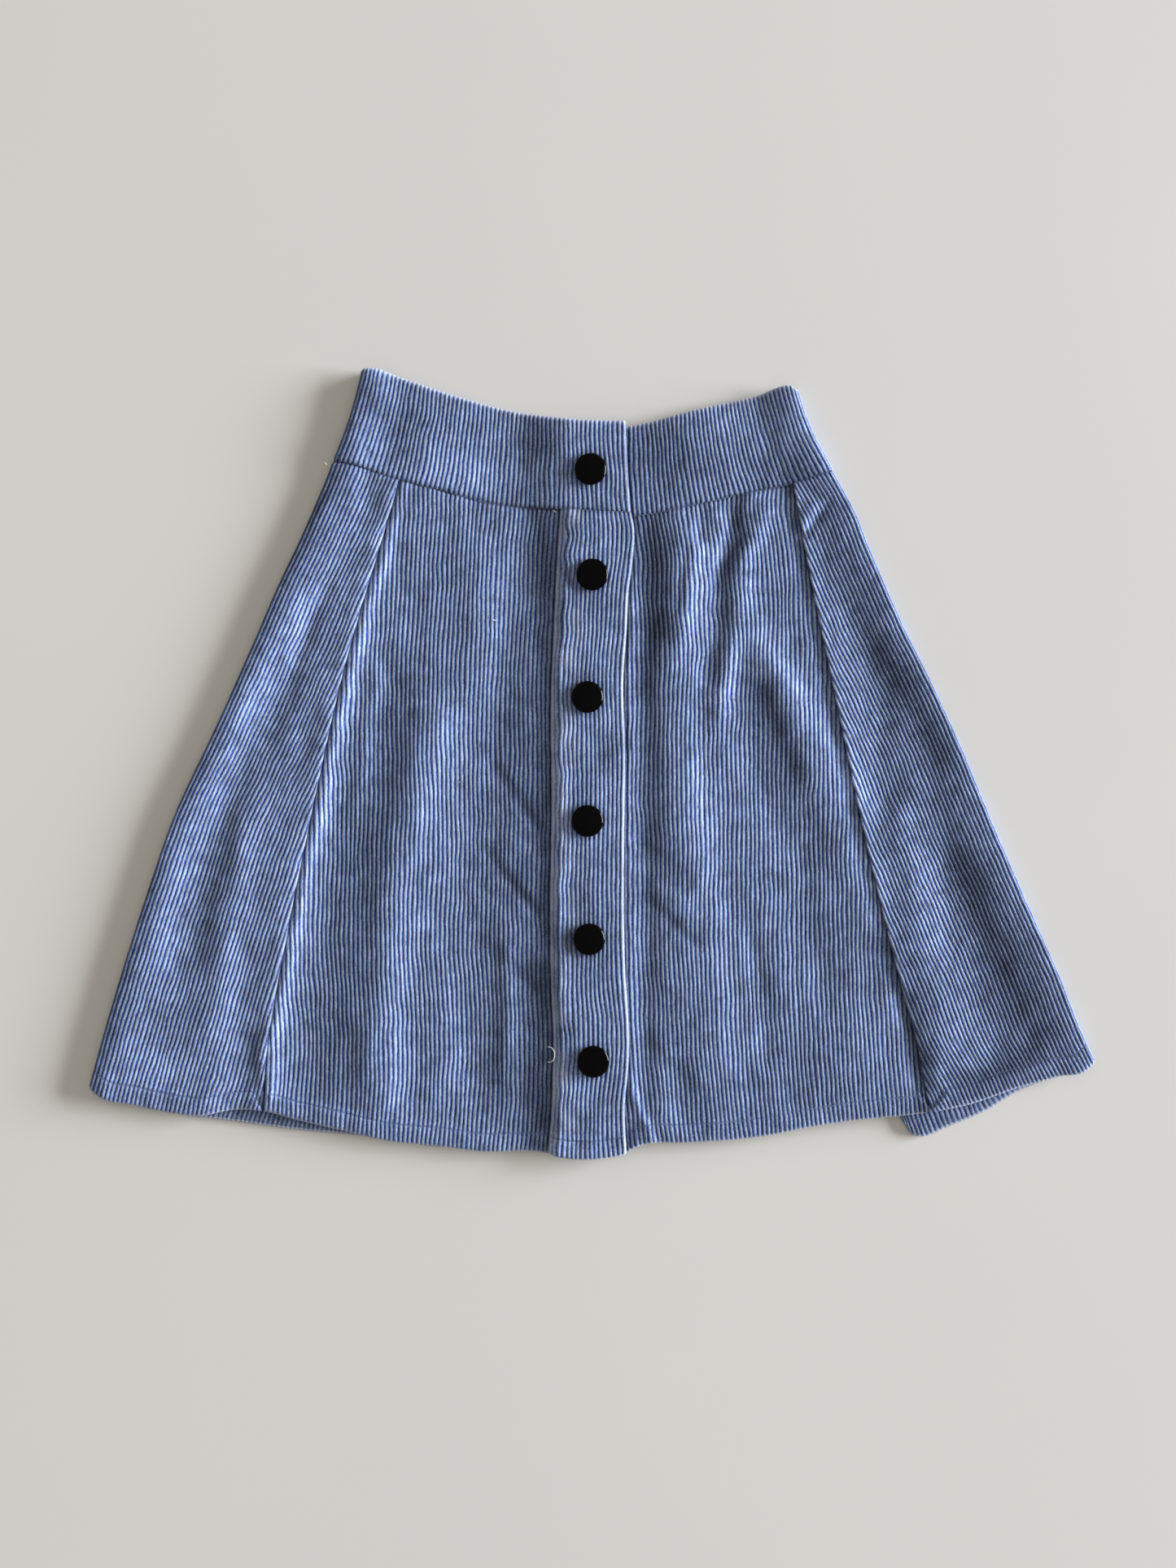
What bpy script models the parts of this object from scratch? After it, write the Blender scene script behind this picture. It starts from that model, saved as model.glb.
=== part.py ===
"""Wide-wale corduroy skirt laid flat, its back on the surface and its front up.

Every length below is in millimetres and mesh_object() turns it into metres.
X runs across the skirt, Y from the hem up to the waist, Z up from the surface.
"Right" and "left" in the names are the wearer's, so "right" is on the -X side.
"""
import math

import bpy
import numpy as np

MM = 0.001

# The cloth: an eight-wale corduroy, one rib each 3.175 mm.
WALE = 3.175
GROOVE_WALL = 1.15  # wall thickness in the groove between two wales
WALE_RISE = 0.5  # height of a wale over its groove
SIDE_WALES_RIGHT = 40  # wales that meet the hem, panel by panel
CENTRE_WALES_RIGHT = 63
CENTRE_WALES_LEFT = 68
SIDE_WALES_LEFT = 42
BACK_WALL = 1.5
EDGE_SHARE = 0.55  # share of the wall that is left along a rounded edge
HEM_FOLD = 1.0  # what the turned-up hem adds to the front's wall
HEM_STITCH = 12.5  # depth of the doubled part, up to its row of stitches
HEM_END = 15.5  # where the front is single again
HEM_ROUND = 1.5  # height over which its lower edge is rounded
FULL_HEM_LENGTH = 60.0  # a column shorter than this has a hem in proportion
PANEL_ROWS = (0.0, 0.2, 0.4, 0.6, 0.8, 1.0)  # shares of a panel's length above its hem
SEAM_GAP = 0.3  # left open between two pieces that are sewn together
PRINCESS_INSET = 0.22  # each panel keeps this far from the curved seam between them
COARSE = 4  # outer columns for each inner column

# Searching for where a column meets the hem and the seam above it.
HEM_GUESS = -240.0
ABOVE_SEAM = 215.0
HEM_STEPS = 12
HALVINGS = 40

# Heights of the layers.
SIDE_RADIUS = 3.4  # outer radius of the soft roll along each side
ROLL_WALL = GROOVE_WALL + WALE_RISE
FLOOR_BODY = 1.95  # lowest place of the front's inner face
FLOOR_HEM = 3.4  # the same over the back's turned-up hem
FLOOR_WAIST = 2.9  # the same beside the waistband
HEM_EASE = 45.0  # height over the back's hem where the front is down again
WAIST_EASE = 25.0
FRONT_REST = 1.4  # how high the front rests over that lowest place
FRONT_REACH = 3.1  # how far folds can lift it
EASE_IN = 35.0  # width over which the side roll settles down to the front
SEAM_RIDGE = 0.9  # lift of a side panel by the allowances under its seam
SEAM_RIDGE_WIDTH = 10.0
SEAM_RIDGE_END = (150.0, 230.0)  # it fades out between these distances below the origin
HEM_TO_ROLL = 12.0  # the doubled hem thins out over this width beside the side roll

# The waistband, a doubled strip that runs once round the waist.
BAND_WALL = 1.85
BAND_RADIUS = 4.25
BAND_EDGE = 0.7  # share of the wall that is left along its two edges
BAND_REST = 2.9  # its front's inner face
BAND_WALES_LEFT = 52
BAND_WALES_RIGHT = 61
BAND_LAP = 3.0  # lift of the overlapping end
BAND_LAP_RUN = 40.0  # the overlapping end rises over this width before it
BAND_UNDER_END = -13.0  # x where the hidden end under the overlap stops
BAND_END = (27.0, 23.5)  # x of the overlapping end at the seam and at the top edge
BAND_BACK_INSET = 1.5  # the back's top edge lies this far below the front's
BAND_TURN = (30.0, 60.0, 90.0, 120.0, 150.0, 180.0)  # degrees round a roll from its top
BAND_ROWS = (0.0, 0.04, 0.96, 1.0)  # shares of the band's depth

# The placket, a doubled strip over the left front's button stand.
PLACKET_WALL = 1.9
PLACKET_COLUMNS = 35  # seventeen wales side by side
PLACKET_LIFT = 2.1
STAND_INSET = 9.0  # from the placket's left edge to the stand's hidden edge
STAND_TO_WALES = 5.2  # and on to the first wale under the placket

# The back's turned-up hem, right side of the cloth up.
BACK_HEM_WALL = 0.8
BACK_HEM_RISE = 0.4
BACK_HEM_DEPTH = 18.0
BACK_HEM_SIDE = 9.0  # distance of its ends from the sides
BACK_HEM_LIFT = 0.4  # how far its edge stays over the back panel's
BACK_HEM_SHOWS = [  # x from, x to, where it shows under the front
    (-292.0, -92.0),
    (207.0, 300.0),
]

# The snaps.
SNAP_RADIUS = 11.1
SNAP_SIDES = 20
SNAP_PROFILE = [  # radius, height over the cap's underside
    (10.3, 0.0),
    (11.1, 0.6),
    (11.1, 1.6),
    (10.2, 2.3),
    (8.6, 2.1),
]
SNAP_CROWN = 2.7
SNAPS = [  # x, y of each centre, from the waistband down
    (-1.1, 204.8),
    (0.2, 131.5),
    (-3.2, 46.4),
    (-3.2, -39.8),
    (-2.0, -122.1),
    (0.8, -207.1),
]

# The outline. Each table is read along its first column.
CORNER_RIGHT = -225.8  # y of the hem at each side
CORNER_LEFT = -206.9
SIDE_RIGHT = [  # y, x of the fold along the right side; its first row only leads the wales on
    (-262.0, -361.6),
    (-225.8, -351.8),
    (-204.9, -346.2),
    (-148.2, -329.7),
    (-91.5, -311.6),
    (-34.8, -291.7),
    (21.9, -265.1),
    (78.6, -239.6),
    (126.8, -218.6),
    (158.0, -203.8),
    (185.2, -191.9),
    (206.2, -183.4),
    (211.3, -181.6),
    (275.4, -161.3),
]
SIDE_LEFT = [  # y, x of the fold along the left side; its first row only leads the wales on
    (-262.0, 379.0),
    (-206.9, 351.8),
    (-198.1, 347.3),
    (-148.2, 326.9),
    (-91.5, 301.9),
    (-34.8, 277.5),
    (10.6, 258.8),
    (56.0, 237.9),
    (101.3, 215.7),
    (146.7, 195.9),
    (180.7, 181.7),
    (203.4, 169.2),
    (261.2, 144.2),
]
PRINCESS_RIGHT = [  # y, x of the seam between side and centre front
    (-260.0, -231.0),
    (-204.9, -227.8),
    (-119.8, -213.3),
    (-26.3, -194.2),
    (69.6, -172.5),
    (154.9, -147.5),
    (215.0, -129.5),
]
PRINCESS_LEFT = [  # y, x
    (-260.0, 237.4),
    (-205.0, 229.5),
    (-140.5, 212.2),
    (-57.4, 192.0),
    (39.0, 171.5),
    (149.5, 148.8),
    (215.0, 137.0),
]
PLACKET_INNER = [  # y, x of the seam between placket and right front
    (-271.5, -31.1),
    (-234.3, -28.6),
    (-195.2, -27.7),
    (-136.8, -29.8),
    (-30.8, -28.9),
    (56.0, -28.9),
    (101.3, -26.9),
    (145.3, -24.9),
    (176.3, -22.6),
]
PLACKET_EDGE = [  # y, x of the placket's free edge
    (-270.6, 24.1),
    (-244.0, 23.0),
    (-200.3, 26.0),
    (-136.8, 23.0),
    (-57.4, 22.4),
    (12.6, 23.2),
    (56.0, 21.8),
    (91.7, 24.1),
    (120.6, 25.6),
    (142.1, 28.5),
    (163.9, 29.5),
    (175.6, 27.5),
]
GRAIN_LEFT = [  # y, x by which the left front's wales lean from straight
    (-270.0, 16.0),
    (-200.0, 10.0),
    (-150.0, 8.0),
    (0.0, 6.5),
    (100.0, 6.0),
    (145.0, 4.0),
    (176.0, 0.0),
]
WAIST_SEAM_RIGHT = [  # x, y under the right half of the waistband
    (-185.0, 212.0),
    (-164.7, 208.7),
    (-139.2, 199.4),
    (-106.3, 191.5),
    (-66.8, 181.3),
    (-23.5, 177.9),
    (5.4, 176.2),
    (30.0, 175.3),
]
WAIST_SEAM_LEFT = [  # x, y
    (-30.0, 172.0),
    (30.7, 173.3),
    (71.2, 181.3),
    (114.6, 190.7),
    (136.3, 195.0),
    (155.1, 200.8),
    (169.2, 204.6),
]
WAIST_TOP_RIGHT = [  # x, y along the top edge
    (-161.3, 275.4),
    (-149.4, 275.2),
    (-139.2, 271.7),
    (-103.0, 259.5),
    (-52.4, 245.6),
    (-9.0, 239.8),
    (23.5, 239.0),
]
WAIST_TOP_LEFT = [  # x, y
    (-24.0, 234.0),
    (27.8, 236.3),
    (71.2, 247.0),
    (114.6, 256.7),
    (139.8, 262.9),
    (144.2, 261.2),
]
HEM_FRONT = [  # x, y of the front's lower edge
    (-351.8, -225.8),
    (-345.0, -231.6),
    (-320.6, -238.1),
    (-291.7, -244.0),
    (-274.3, -245.6),
    (-251.5, -241.7),
    (-226.5, -242.8),
    (-210.1, -247.4),
    (-171.5, -256.5),
    (-143.2, -263.1),
    (-110.3, -266.4),
    (-76.8, -270.6),
    (-35.4, -271.0),
    (-20.4, -274.4),
    (-6.0, -275.4),
    (8.8, -274.4),
    (21.6, -272.0),
    (34.6, -266.2),
    (64.9, -264.4),
    (93.8, -262.7),
    (122.8, -259.3),
    (151.7, -253.6),
    (180.6, -249.1),
    (209.5, -246.2),
    (231.1, -243.8),
    (263.3, -237.7),
    (300.2, -225.3),
    (324.6, -218.5),
    (348.1, -211.1),
    (351.8, -206.9),
]
HEM_BACK = [  # x, y of the back's lower edge; its left corner hangs out under the front
    (-351.8, -225.8),
    (-320.0, -239.5),
    (-291.7, -245.2),
    (-251.5, -250.2),
    (-205.0, -256.5),
    (-151.7, -261.6),
    (-110.3, -268.1),
    (-70.0, -268.5),
    (0.0, -264.0),
    (70.0, -257.0),
    (140.0, -248.0),
    (206.0, -240.5),
    (216.3, -247.4),
    (224.0, -259.5),
    (229.0, -261.0),
    (250.9, -253.6),
    (275.6, -243.2),
    (300.2, -228.6),
    (324.6, -219.0),
    (351.8, -206.9),
]

FOLDS = [  # x, y at the top, middle and lower end, half width, height
    (-132, 84, -173, -69, -196, -216, 18, -1.2),
    (-114, 28, -141, -80, -151, -239, 14, 1.3),
    (-71, 28, -88, -91, -84, -245, 20, -1.1),
    (-47, 164, -56, 101, -71, 28, 14, -0.9),
    (68, 152, 59, 67, 63, -46, 13, 1.5),
    (63, -46, 72, -120, 81, -216, 17, 0.7),
    (36, 165, 34, 0, 36, -240, 8, -1.2),
    (98, 175, 92, 124, 80, 62, 7, -0.9),
    (108, 169, 102, 101, 89, 39, 8, 0.8),
    (95, 124, 146, 22, 193, -106, 13, 1.2),
    (101, 50, 126, -35, 155, -148, 14, -1.0),
    (184, 101, 199, 45, 206, -23, 12, -1.1),
    (211, -35, 223, -120, 245, -199, 12, 0.9),
    (240, -57, 262, -131, 282, -199, 15, -1.6),
    (-223, 50, -266, -46, -287, -137, 16, -1.5),
    (-242, -35, -258, -103, -264, -182, 12, 0.9),
    (-242, -199, -249, -230, -251, -242, 9, -0.8),
]
BAND_FOLDS = [  # x, half width, height
    (-118.0, 22.0, 0.7),
    (-72.0, 16.0, -0.3),
    (-40.0, 18.0, 0.4),
    (72.0, 20.0, 0.6),
    (108.0, 16.0, -0.3),
]


def along(table, value):
    """The table's second column where its first has the value, on a smooth curve through its rows."""
    at, level = np.array(table, float).T
    width = np.diff(at)
    slope = np.diff(level) / width
    bend = (slope[:-1] * width[1:] + slope[1:] * width[:-1]) / (width[:-1] + width[1:])
    tangent = np.concatenate([slope[:1], bend, slope[-1:]])
    value = np.clip(value, at[0], at[-1])
    i = np.clip(np.searchsorted(at, value, side="right") - 1, 0, len(width) - 1)
    t = (value - at[i]) / width[i]
    start = (1.0 + 2.0 * t) * level[i] + t * width[i] * tangent[i]
    end = (3.0 - 2.0 * t) * level[i + 1] - (1.0 - t) * width[i] * tangent[i + 1]
    return (1.0 - t) ** 2 * start + t**2 * end


def smooth(value, start, end):
    """0 before start, 1 past end and an even curve between them."""
    t = np.clip((value - start) / (end - start), 0.0, 1.0)
    return t * t * (3.0 - 2.0 * t)


def crease(x, y, fold):
    """The height of one soft fold, which fades out past both of its ends."""
    points = np.array(fold[:6], float).reshape(3, 2)
    half_width, height = fold[6:]
    nearest = np.full(np.shape(x), np.inf)
    for start, end in zip(points, points[1:]):
        run = end - start
        t = ((x - start[0]) * run[0] + (y - start[1]) * run[1]) / (run @ run)
        t = np.clip(t, 0.0, 1.0)
        off = np.hypot(x - start[0] - t * run[0], y - start[1] - t * run[1])
        nearest = np.minimum(nearest, off)
    return height * np.exp(-((nearest / half_width) ** 2))


def front_inside(x, y):
    """Height of the front's inner face over the surface."""
    over_hem = 1.0 - smooth(y - along(HEM_BACK, x), BACK_HEM_DEPTH, HEM_EASE)
    waist = np.where(x < 0, along(WAIST_SEAM_RIGHT, x), along(WAIST_SEAM_LEFT, x))
    at_waist = smooth(y, waist - WAIST_EASE, waist)
    floor = FLOOR_BODY + (FLOOR_HEM - FLOOR_BODY) * over_hem
    floor = floor + (FLOOR_WAIST - FLOOR_BODY) * at_waist
    folds = sum(crease(x, y, fold) for fold in FOLDS)
    # Under the placket the folds die out.
    edge, seam = along(PLACKET_EDGE, y), along(PLACKET_INNER, y)
    beside = smooth(x, edge - 3.0, edge + 6.0) + 1.0 - smooth(x, seam - 10.0, seam)
    half = FRONT_REACH / 2.0
    lift = half * (1.0 + np.tanh((FRONT_REST + folds * beside - half) / half))
    quiet = 1.0 - 0.5 * np.maximum(over_hem, at_waist)
    return floor + lift * quiet


def mesh_object(name, points, faces, material):
    """One closed solid from points in millimetres."""
    mesh = bpy.data.meshes.new(name)
    mesh.from_pydata((np.array(points) * MM).tolist(), [], faces)
    mesh.materials.append(material)
    mesh.update()
    solid = bpy.data.objects.new(name, mesh)
    bpy.context.scene.collection.objects.link(solid)
    return solid


def rim(outer, inner, coarse, flip):
    """Triangles between a fine and a coarse row of vertices, coarse column by coarse column."""
    faces = []
    for j in range(len(coarse) - 1):
        turn = (coarse[j] + coarse[j + 1]) // 2
        for c in range(coarse[j], coarse[j + 1]):
            near = j if c < turn else j + 1
            faces.append((outer[c + 1], outer[c], inner[near]))
        faces.append((outer[turn], inner[j], inner[j + 1]))
    if flip:
        faces = [face[::-1] for face in faces]
    return faces


def wall(name, outer, inner, coarse, material):
    """A closed wall: a fine outer grid of rows and columns over a plain coarse inner one."""
    rows, cols = outer.shape[:2]
    count = len(coarse)
    out = np.arange(rows * cols).reshape(rows, cols).tolist()
    back = (np.arange(rows * count) + rows * cols).reshape(rows, count).tolist()
    faces = []
    for r in range(rows - 1):
        low, high = out[r], out[r + 1]
        under, over = back[r], back[r + 1]
        for c in range(cols - 1):
            faces.append((low[c], low[c + 1], high[c + 1], high[c]))
        for j in range(count - 1):
            faces.append((under[j], over[j], over[j + 1], under[j + 1]))
        faces.append((low[0], high[0], over[0], under[0]))
        faces.append((low[-1], under[-1], over[-1], high[-1]))
    faces += rim(out[0], back[0], coarse, False)
    faces += rim(out[-1], back[-1], coarse, True)
    points = np.concatenate([outer.reshape(-1, 3), inner.reshape(-1, 3)])
    return mesh_object(name, points, faces, material)


def every(cols):
    """Column numbers of the coarse grid, the last column always among them."""
    return list(range(0, cols - COARSE // 2, COARSE)) + [cols - 1]


def column_ends(x_at, top_of, cut_of):
    """Where each column meets the hem and the seam above it, as two arrays of y."""
    low = np.full(len(x_at(0.0)), HEM_GUESS)
    for _ in range(HEM_STEPS):
        low = along(HEM_FRONT, x_at(low))
    bottom = low.copy()
    high = np.full(len(low), ABOVE_SEAM)
    for _ in range(HALVINGS):
        middle = (low + high) / 2.0
        x = x_at(middle)
        inside = (middle < top_of(x)) & cut_of(x, middle)
        low = np.where(inside, middle, low)
        high = np.where(inside, high, middle)
    return bottom, low


def hem_scale(bottom, top):
    """Share of the hem's full depth that fits a column; one that a seam cuts off has less."""
    return np.minimum(1.0, (top - bottom) / FULL_HEM_LENGTH)


def row_heights(bottom, top):
    """Rows of y: the hem's edge, its rounding, its stitches, its end, then up to the seam."""
    length = top - bottom
    scale = hem_scale(bottom, top)
    rows = [0.0 * length, HEM_ROUND * scale, HEM_STITCH * scale]
    end = HEM_END * scale
    rows += [end + (length - end) * part for part in PANEL_ROWS]
    return bottom + np.array(rows)


def panel_wall(y, bottom, top, wales, single=0.0):
    """Thickness over a panel: its wales, the doubled hem and the hem's rounded edge."""
    up = (y - bottom) / hem_scale(bottom, top)
    thick = GROOVE_WALL + WALE_RISE * wales
    doubled = 1.0 - smooth(up, HEM_STITCH, HEM_END)
    thick = thick + HEM_FOLD * doubled * (1.0 - single)
    return thick * (EDGE_SHARE + (1.0 - EDGE_SHARE) * smooth(up, 0.0, HEM_ROUND))


def centre_panel(name, x_at, wales, seam_x, sign, coarse, material):
    """A centre front panel, its columns cut by the waist seam and the princess seam."""
    waist = WAIST_SEAM_RIGHT if sign < 0 else WAIST_SEAM_LEFT
    bottom, top = column_ends(
        x_at,
        lambda x: along(waist, x) - SEAM_GAP,
        lambda x, y: sign * (along(seam_x, y) - x) > PRINCESS_INSET,
    )
    y = row_heights(bottom, top)
    x = np.array([x_at(row) for row in y])
    inside = front_inside(x, y)
    # The button stand under the placket stays single, so that the placket lies flat on it.
    edge = along(PLACKET_EDGE, y)
    single = 1.0 - smooth(x, edge, edge + STAND_INSET) if sign > 0 else 0.0
    thick = panel_wall(y, bottom, top, wales, single)
    outer = np.stack([x, y, inside + thick], axis=2)
    inner = np.stack([x, y, inside], axis=2)[:, coarse]
    return wall(name, outer, inner, coarse, material)


def side_panel(name, side, seam_x, sign, wale_count, material):
    """A side front panel, from the roll at the side to the princess seam."""
    waist = WAIST_SEAM_RIGHT if sign < 0 else WAIST_SEAM_LEFT
    cols = 2 * wale_count + 1
    arc = np.arange(cols) * WALE / 2.0
    turn = SIDE_RADIUS * math.pi / 2.0
    angle = np.minimum(arc / SIDE_RADIUS, math.pi / 2.0)
    flat = np.maximum(arc - turn, 0.0)
    bottom, top = column_ends(
        lambda y: along(side, y) - sign * (SIDE_RADIUS * (1.0 - np.cos(angle)) + flat),
        lambda x: along(waist, x) - SEAM_GAP,
        lambda x, y: sign * (x - along(seam_x, y)) > PRINCESS_INSET,
    )
    y = row_heights(bottom, top)
    edge = along(side, y)
    wales = (np.arange(cols) % 2).astype(float)
    rolled = 1.0 - smooth(flat, 0.0, HEM_TO_ROLL)
    thick = panel_wall(y, bottom, top, wales, rolled)
    # The roll's centre line stands a radius and one seam gap over the surface.
    inner_radius = SIDE_RADIUS - ROLL_WALL
    centre_z = SIDE_RADIUS + SEAM_GAP
    x_flat = edge - sign * (SIDE_RADIUS + flat)
    settled = smooth(flat, 0.0, EASE_IN)
    near_seam = np.exp(-(((x_flat - along(seam_x, y)) / SEAM_RIDGE_WIDTH) ** 2))
    low_end = smooth(-y, *SEAM_RIDGE_END)
    rest = front_inside(x_flat, y) + SEAM_RIDGE * near_seam * (1.0 - low_end)
    lift = (1.0 - settled) * (centre_z + inner_radius) + settled * rest

    def surface(radius, extra):
        x = edge - sign * (SIDE_RADIUS - radius * np.cos(angle) + flat)
        rounded = centre_z + radius * np.sin(angle)
        return np.stack([x, y, np.where(flat > 0.0, lift + extra, rounded)], axis=2)

    outer = surface(inner_radius + thick, thick)
    inner = surface(inner_radius, 0.0)
    coarse = [0, 2, 4] + [4 + c for c in every(cols - 4)[1:]]
    if sign > 0:
        outer = outer[:, ::-1]
        inner = inner[:, ::-1]
        coarse = [cols - 1 - c for c in coarse[::-1]]
    return wall(name, outer, inner[:, coarse], coarse, material)


def back_shares():
    """The back's columns between its rolls, as shares of its width, one at each hem point."""
    start, end = HEM_BACK[0][0], HEM_BACK[-1][0]
    return [(row[0] - start) / (end - start) for row in HEM_BACK[1:-1]]


def back_x(column, y):
    """X of one of the back's columns: counted from a side, or a share of the width."""
    right = along(SIDE_RIGHT, max(y, CORNER_RIGHT))
    left = along(SIDE_LEFT, max(y, CORNER_LEFT))
    kind, value, _ = column
    if kind < 0:
        return right + value
    if kind > 0:
        return left - value
    return right + (left - right) * value


def back_ends(column):
    """Y where one of the back's columns meets the hem and the waist seam."""
    low, high = HEM_GUESS, ABOVE_SEAM
    for _ in range(HEM_STEPS):
        low = float(along(HEM_BACK, back_x(column, low)))
        x = back_x(column, high)
        high = float(along(WAIST_SEAM_RIGHT if x < 0 else WAIST_SEAM_LEFT, x))
    return low, high


def back_panel(material):
    """The back: flat underneath, its two side edges rolled up to meet the front."""
    angles = np.radians([90.0, 60.0, 30.0, 0.0])
    turned = [(SIDE_RADIUS * (1.0 - math.sin(a)), a) for a in angles]
    columns = [(-1, off, a) for off, a in turned]
    columns += [(0, share, 0.0) for share in back_shares()]
    columns += [(1, off, a) for off, a in turned[::-1]]
    outer, inner = [], []
    for column in columns:
        low, high = back_ends(column)
        ys = row_heights(low, high - SEAM_GAP)
        xs = np.array([back_x(column, y) for y in ys])
        kind, _, angle = column
        inward = -kind * BACK_WALL * math.sin(angle)
        outer_z = SIDE_RADIUS * (1.0 - math.cos(angle))
        inner_z = outer_z + BACK_WALL * math.cos(angle)
        outer.append(np.stack([xs, ys, 0.0 * ys + outer_z], axis=1))
        inner.append(np.stack([xs + inward, ys, 0.0 * ys + inner_z], axis=1))
    bottom = np.array(outer).transpose(1, 0, 2)[:, ::-1]
    top = np.array(inner).transpose(1, 0, 2)[:, ::-1]
    return wall("back_panel", bottom, top, list(range(len(columns))), material)


def back_hem(material):
    """The back's turned-up hem: ribbed where it shows below the front, plain elsewhere."""
    start = HEM_BACK[0][0] + BACK_HEM_SIDE
    end = HEM_BACK[-1][0] - BACK_HEM_SIDE
    xs = [start]
    while xs[-1] < end:
        ribbed = any(low <= xs[-1] < high for low, high in BACK_HEM_SHOWS)
        xs.append(xs[-1] + (WALE / 2.0 if ribbed else 6.0 * WALE))
    xs = np.array(xs[:-1] + [end])
    steps = np.append(np.diff(xs), 0.0)
    ribbed = steps < WALE
    wales = np.where(ribbed, np.arange(len(xs)) % 2, 0.5)
    low = along(HEM_BACK, xs) + BACK_HEM_LIFT
    rows = []
    narrowing = np.minimum(1.0, (end + BACK_HEM_SIDE - xs) / BACK_HEM_DEPTH)
    for up, part in ((0.0, EDGE_SHARE), (HEM_ROUND, 1.0), (BACK_HEM_DEPTH, 1.0)):
        depth = up * narrowing
        z = BACK_WALL + SEAM_GAP + (BACK_HEM_WALL + BACK_HEM_RISE * wales) * part
        rows.append(np.stack([xs, low + depth, z], axis=1))
    outer = np.array(rows)
    coarse = [0]
    while coarse[-1] < len(xs) - 1:
        step = 8 if ribbed[coarse[-1]] else 1
        coarse.append(min(coarse[-1] + step, len(xs) - 1))
    inner = outer[:, coarse].copy()
    inner[:, :, 2] = BACK_WALL + SEAM_GAP
    return wall("back_hem", outer, inner, coarse, material)


def placket_inside(x, y):
    """Height of the placket's inner face: down at its seam, over the button stand beyond."""
    inset = x - along(PLACKET_INNER, y)
    return front_inside(x, y) + PLACKET_LIFT * smooth(inset, 1.0, STAND_INSET - 1.0)


def placket(material):
    """The placket strip, its wales running from edge to edge along its length."""
    share = np.linspace(0.0, 1.0, PLACKET_COLUMNS)

    def x_at(y):
        inner_edge = along(PLACKET_INNER, y) + SEAM_GAP / 2.0
        return inner_edge + (along(PLACKET_EDGE, y) - inner_edge) * share

    bottom, top = column_ends(
        x_at,
        lambda x: along(WAIST_SEAM_RIGHT, x) - SEAM_GAP,
        lambda x, y: y < ABOVE_SEAM,
    )
    y = row_heights(bottom, top)
    x = np.array([x_at(row) for row in y])
    inside = placket_inside(x, y)
    wales = np.arange(PLACKET_COLUMNS) % 2
    thick = panel_wall(y, bottom, top, wales) + PLACKET_WALL - GROOVE_WALL
    thick = thick * np.where((share == 0.0) | (share == 1.0), EDGE_SHARE, 1.0)
    outer = np.stack([x, y, inside + thick], axis=2)
    coarse = every(PLACKET_COLUMNS)
    inner = np.stack([x, y, inside], axis=2)[:, coarse]
    return wall("placket", outer, inner, coarse, material), outer


def band_half(seam, top, x_seam, x_top, lift, end_first):
    """Rows of outer and inner points over one flat half of the waistband's front."""
    rows_out, rows_in = [], []
    wales = np.arange(len(x_seam)) % 2
    for part in BAND_ROWS:
        x = x_seam + (x_top - x_seam) * part
        y_low, y_high = along(seam, x_seam), along(top, x_top)
        y = y_low + (y_high - y_low) * part
        base = BAND_REST + sum(h * np.exp(-(((x - at) / w) ** 2)) for at, w, h in BAND_FOLDS)
        edge = x_seam[-1] if end_first else x_seam[0]
        from_roll = np.abs(x_seam - edge)
        settled = smooth(from_roll, 0.0, EASE_IN)
        roll_top = 2.0 * BAND_RADIUS - BAND_WALL - WALE_RISE
        z = (1.0 - settled) * roll_top + settled * (base + lift(x))
        worn = BAND_EDGE if part in (0.0, 1.0) else 1.0
        thick = (BAND_WALL + WALE_RISE * wales) * worn
        rows_out.append(np.stack([x, y, z + thick], axis=1))
        rows_in.append(np.stack([x, y, z], axis=1))
    return np.array(rows_out), np.array(rows_in)


def band_roll(seam_end, top_end, sign, degrees):
    """Rows of points round one end of the waistband, from its front down to its back."""
    outer, inner = [], []
    thickness = BAND_WALL + WALE_RISE
    for part in BAND_ROWS:
        x = seam_end[0] + (top_end[0] - seam_end[0]) * part - sign * BAND_RADIUS
        y = seam_end[1] + (top_end[1] - seam_end[1]) * part
        ring_out, ring_in = [], []
        for degree in degrees:
            across, up = math.sin(math.radians(degree)), math.cos(math.radians(degree))
            for ring, radius in ((ring_out, BAND_RADIUS), (ring_in, BAND_RADIUS - thickness)):
                ring.append((x + sign * radius * across, y, BAND_RADIUS + radius * up))
        outer.append(ring_out)
        inner.append(ring_in)
    return np.array(outer), np.array(inner)


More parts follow.
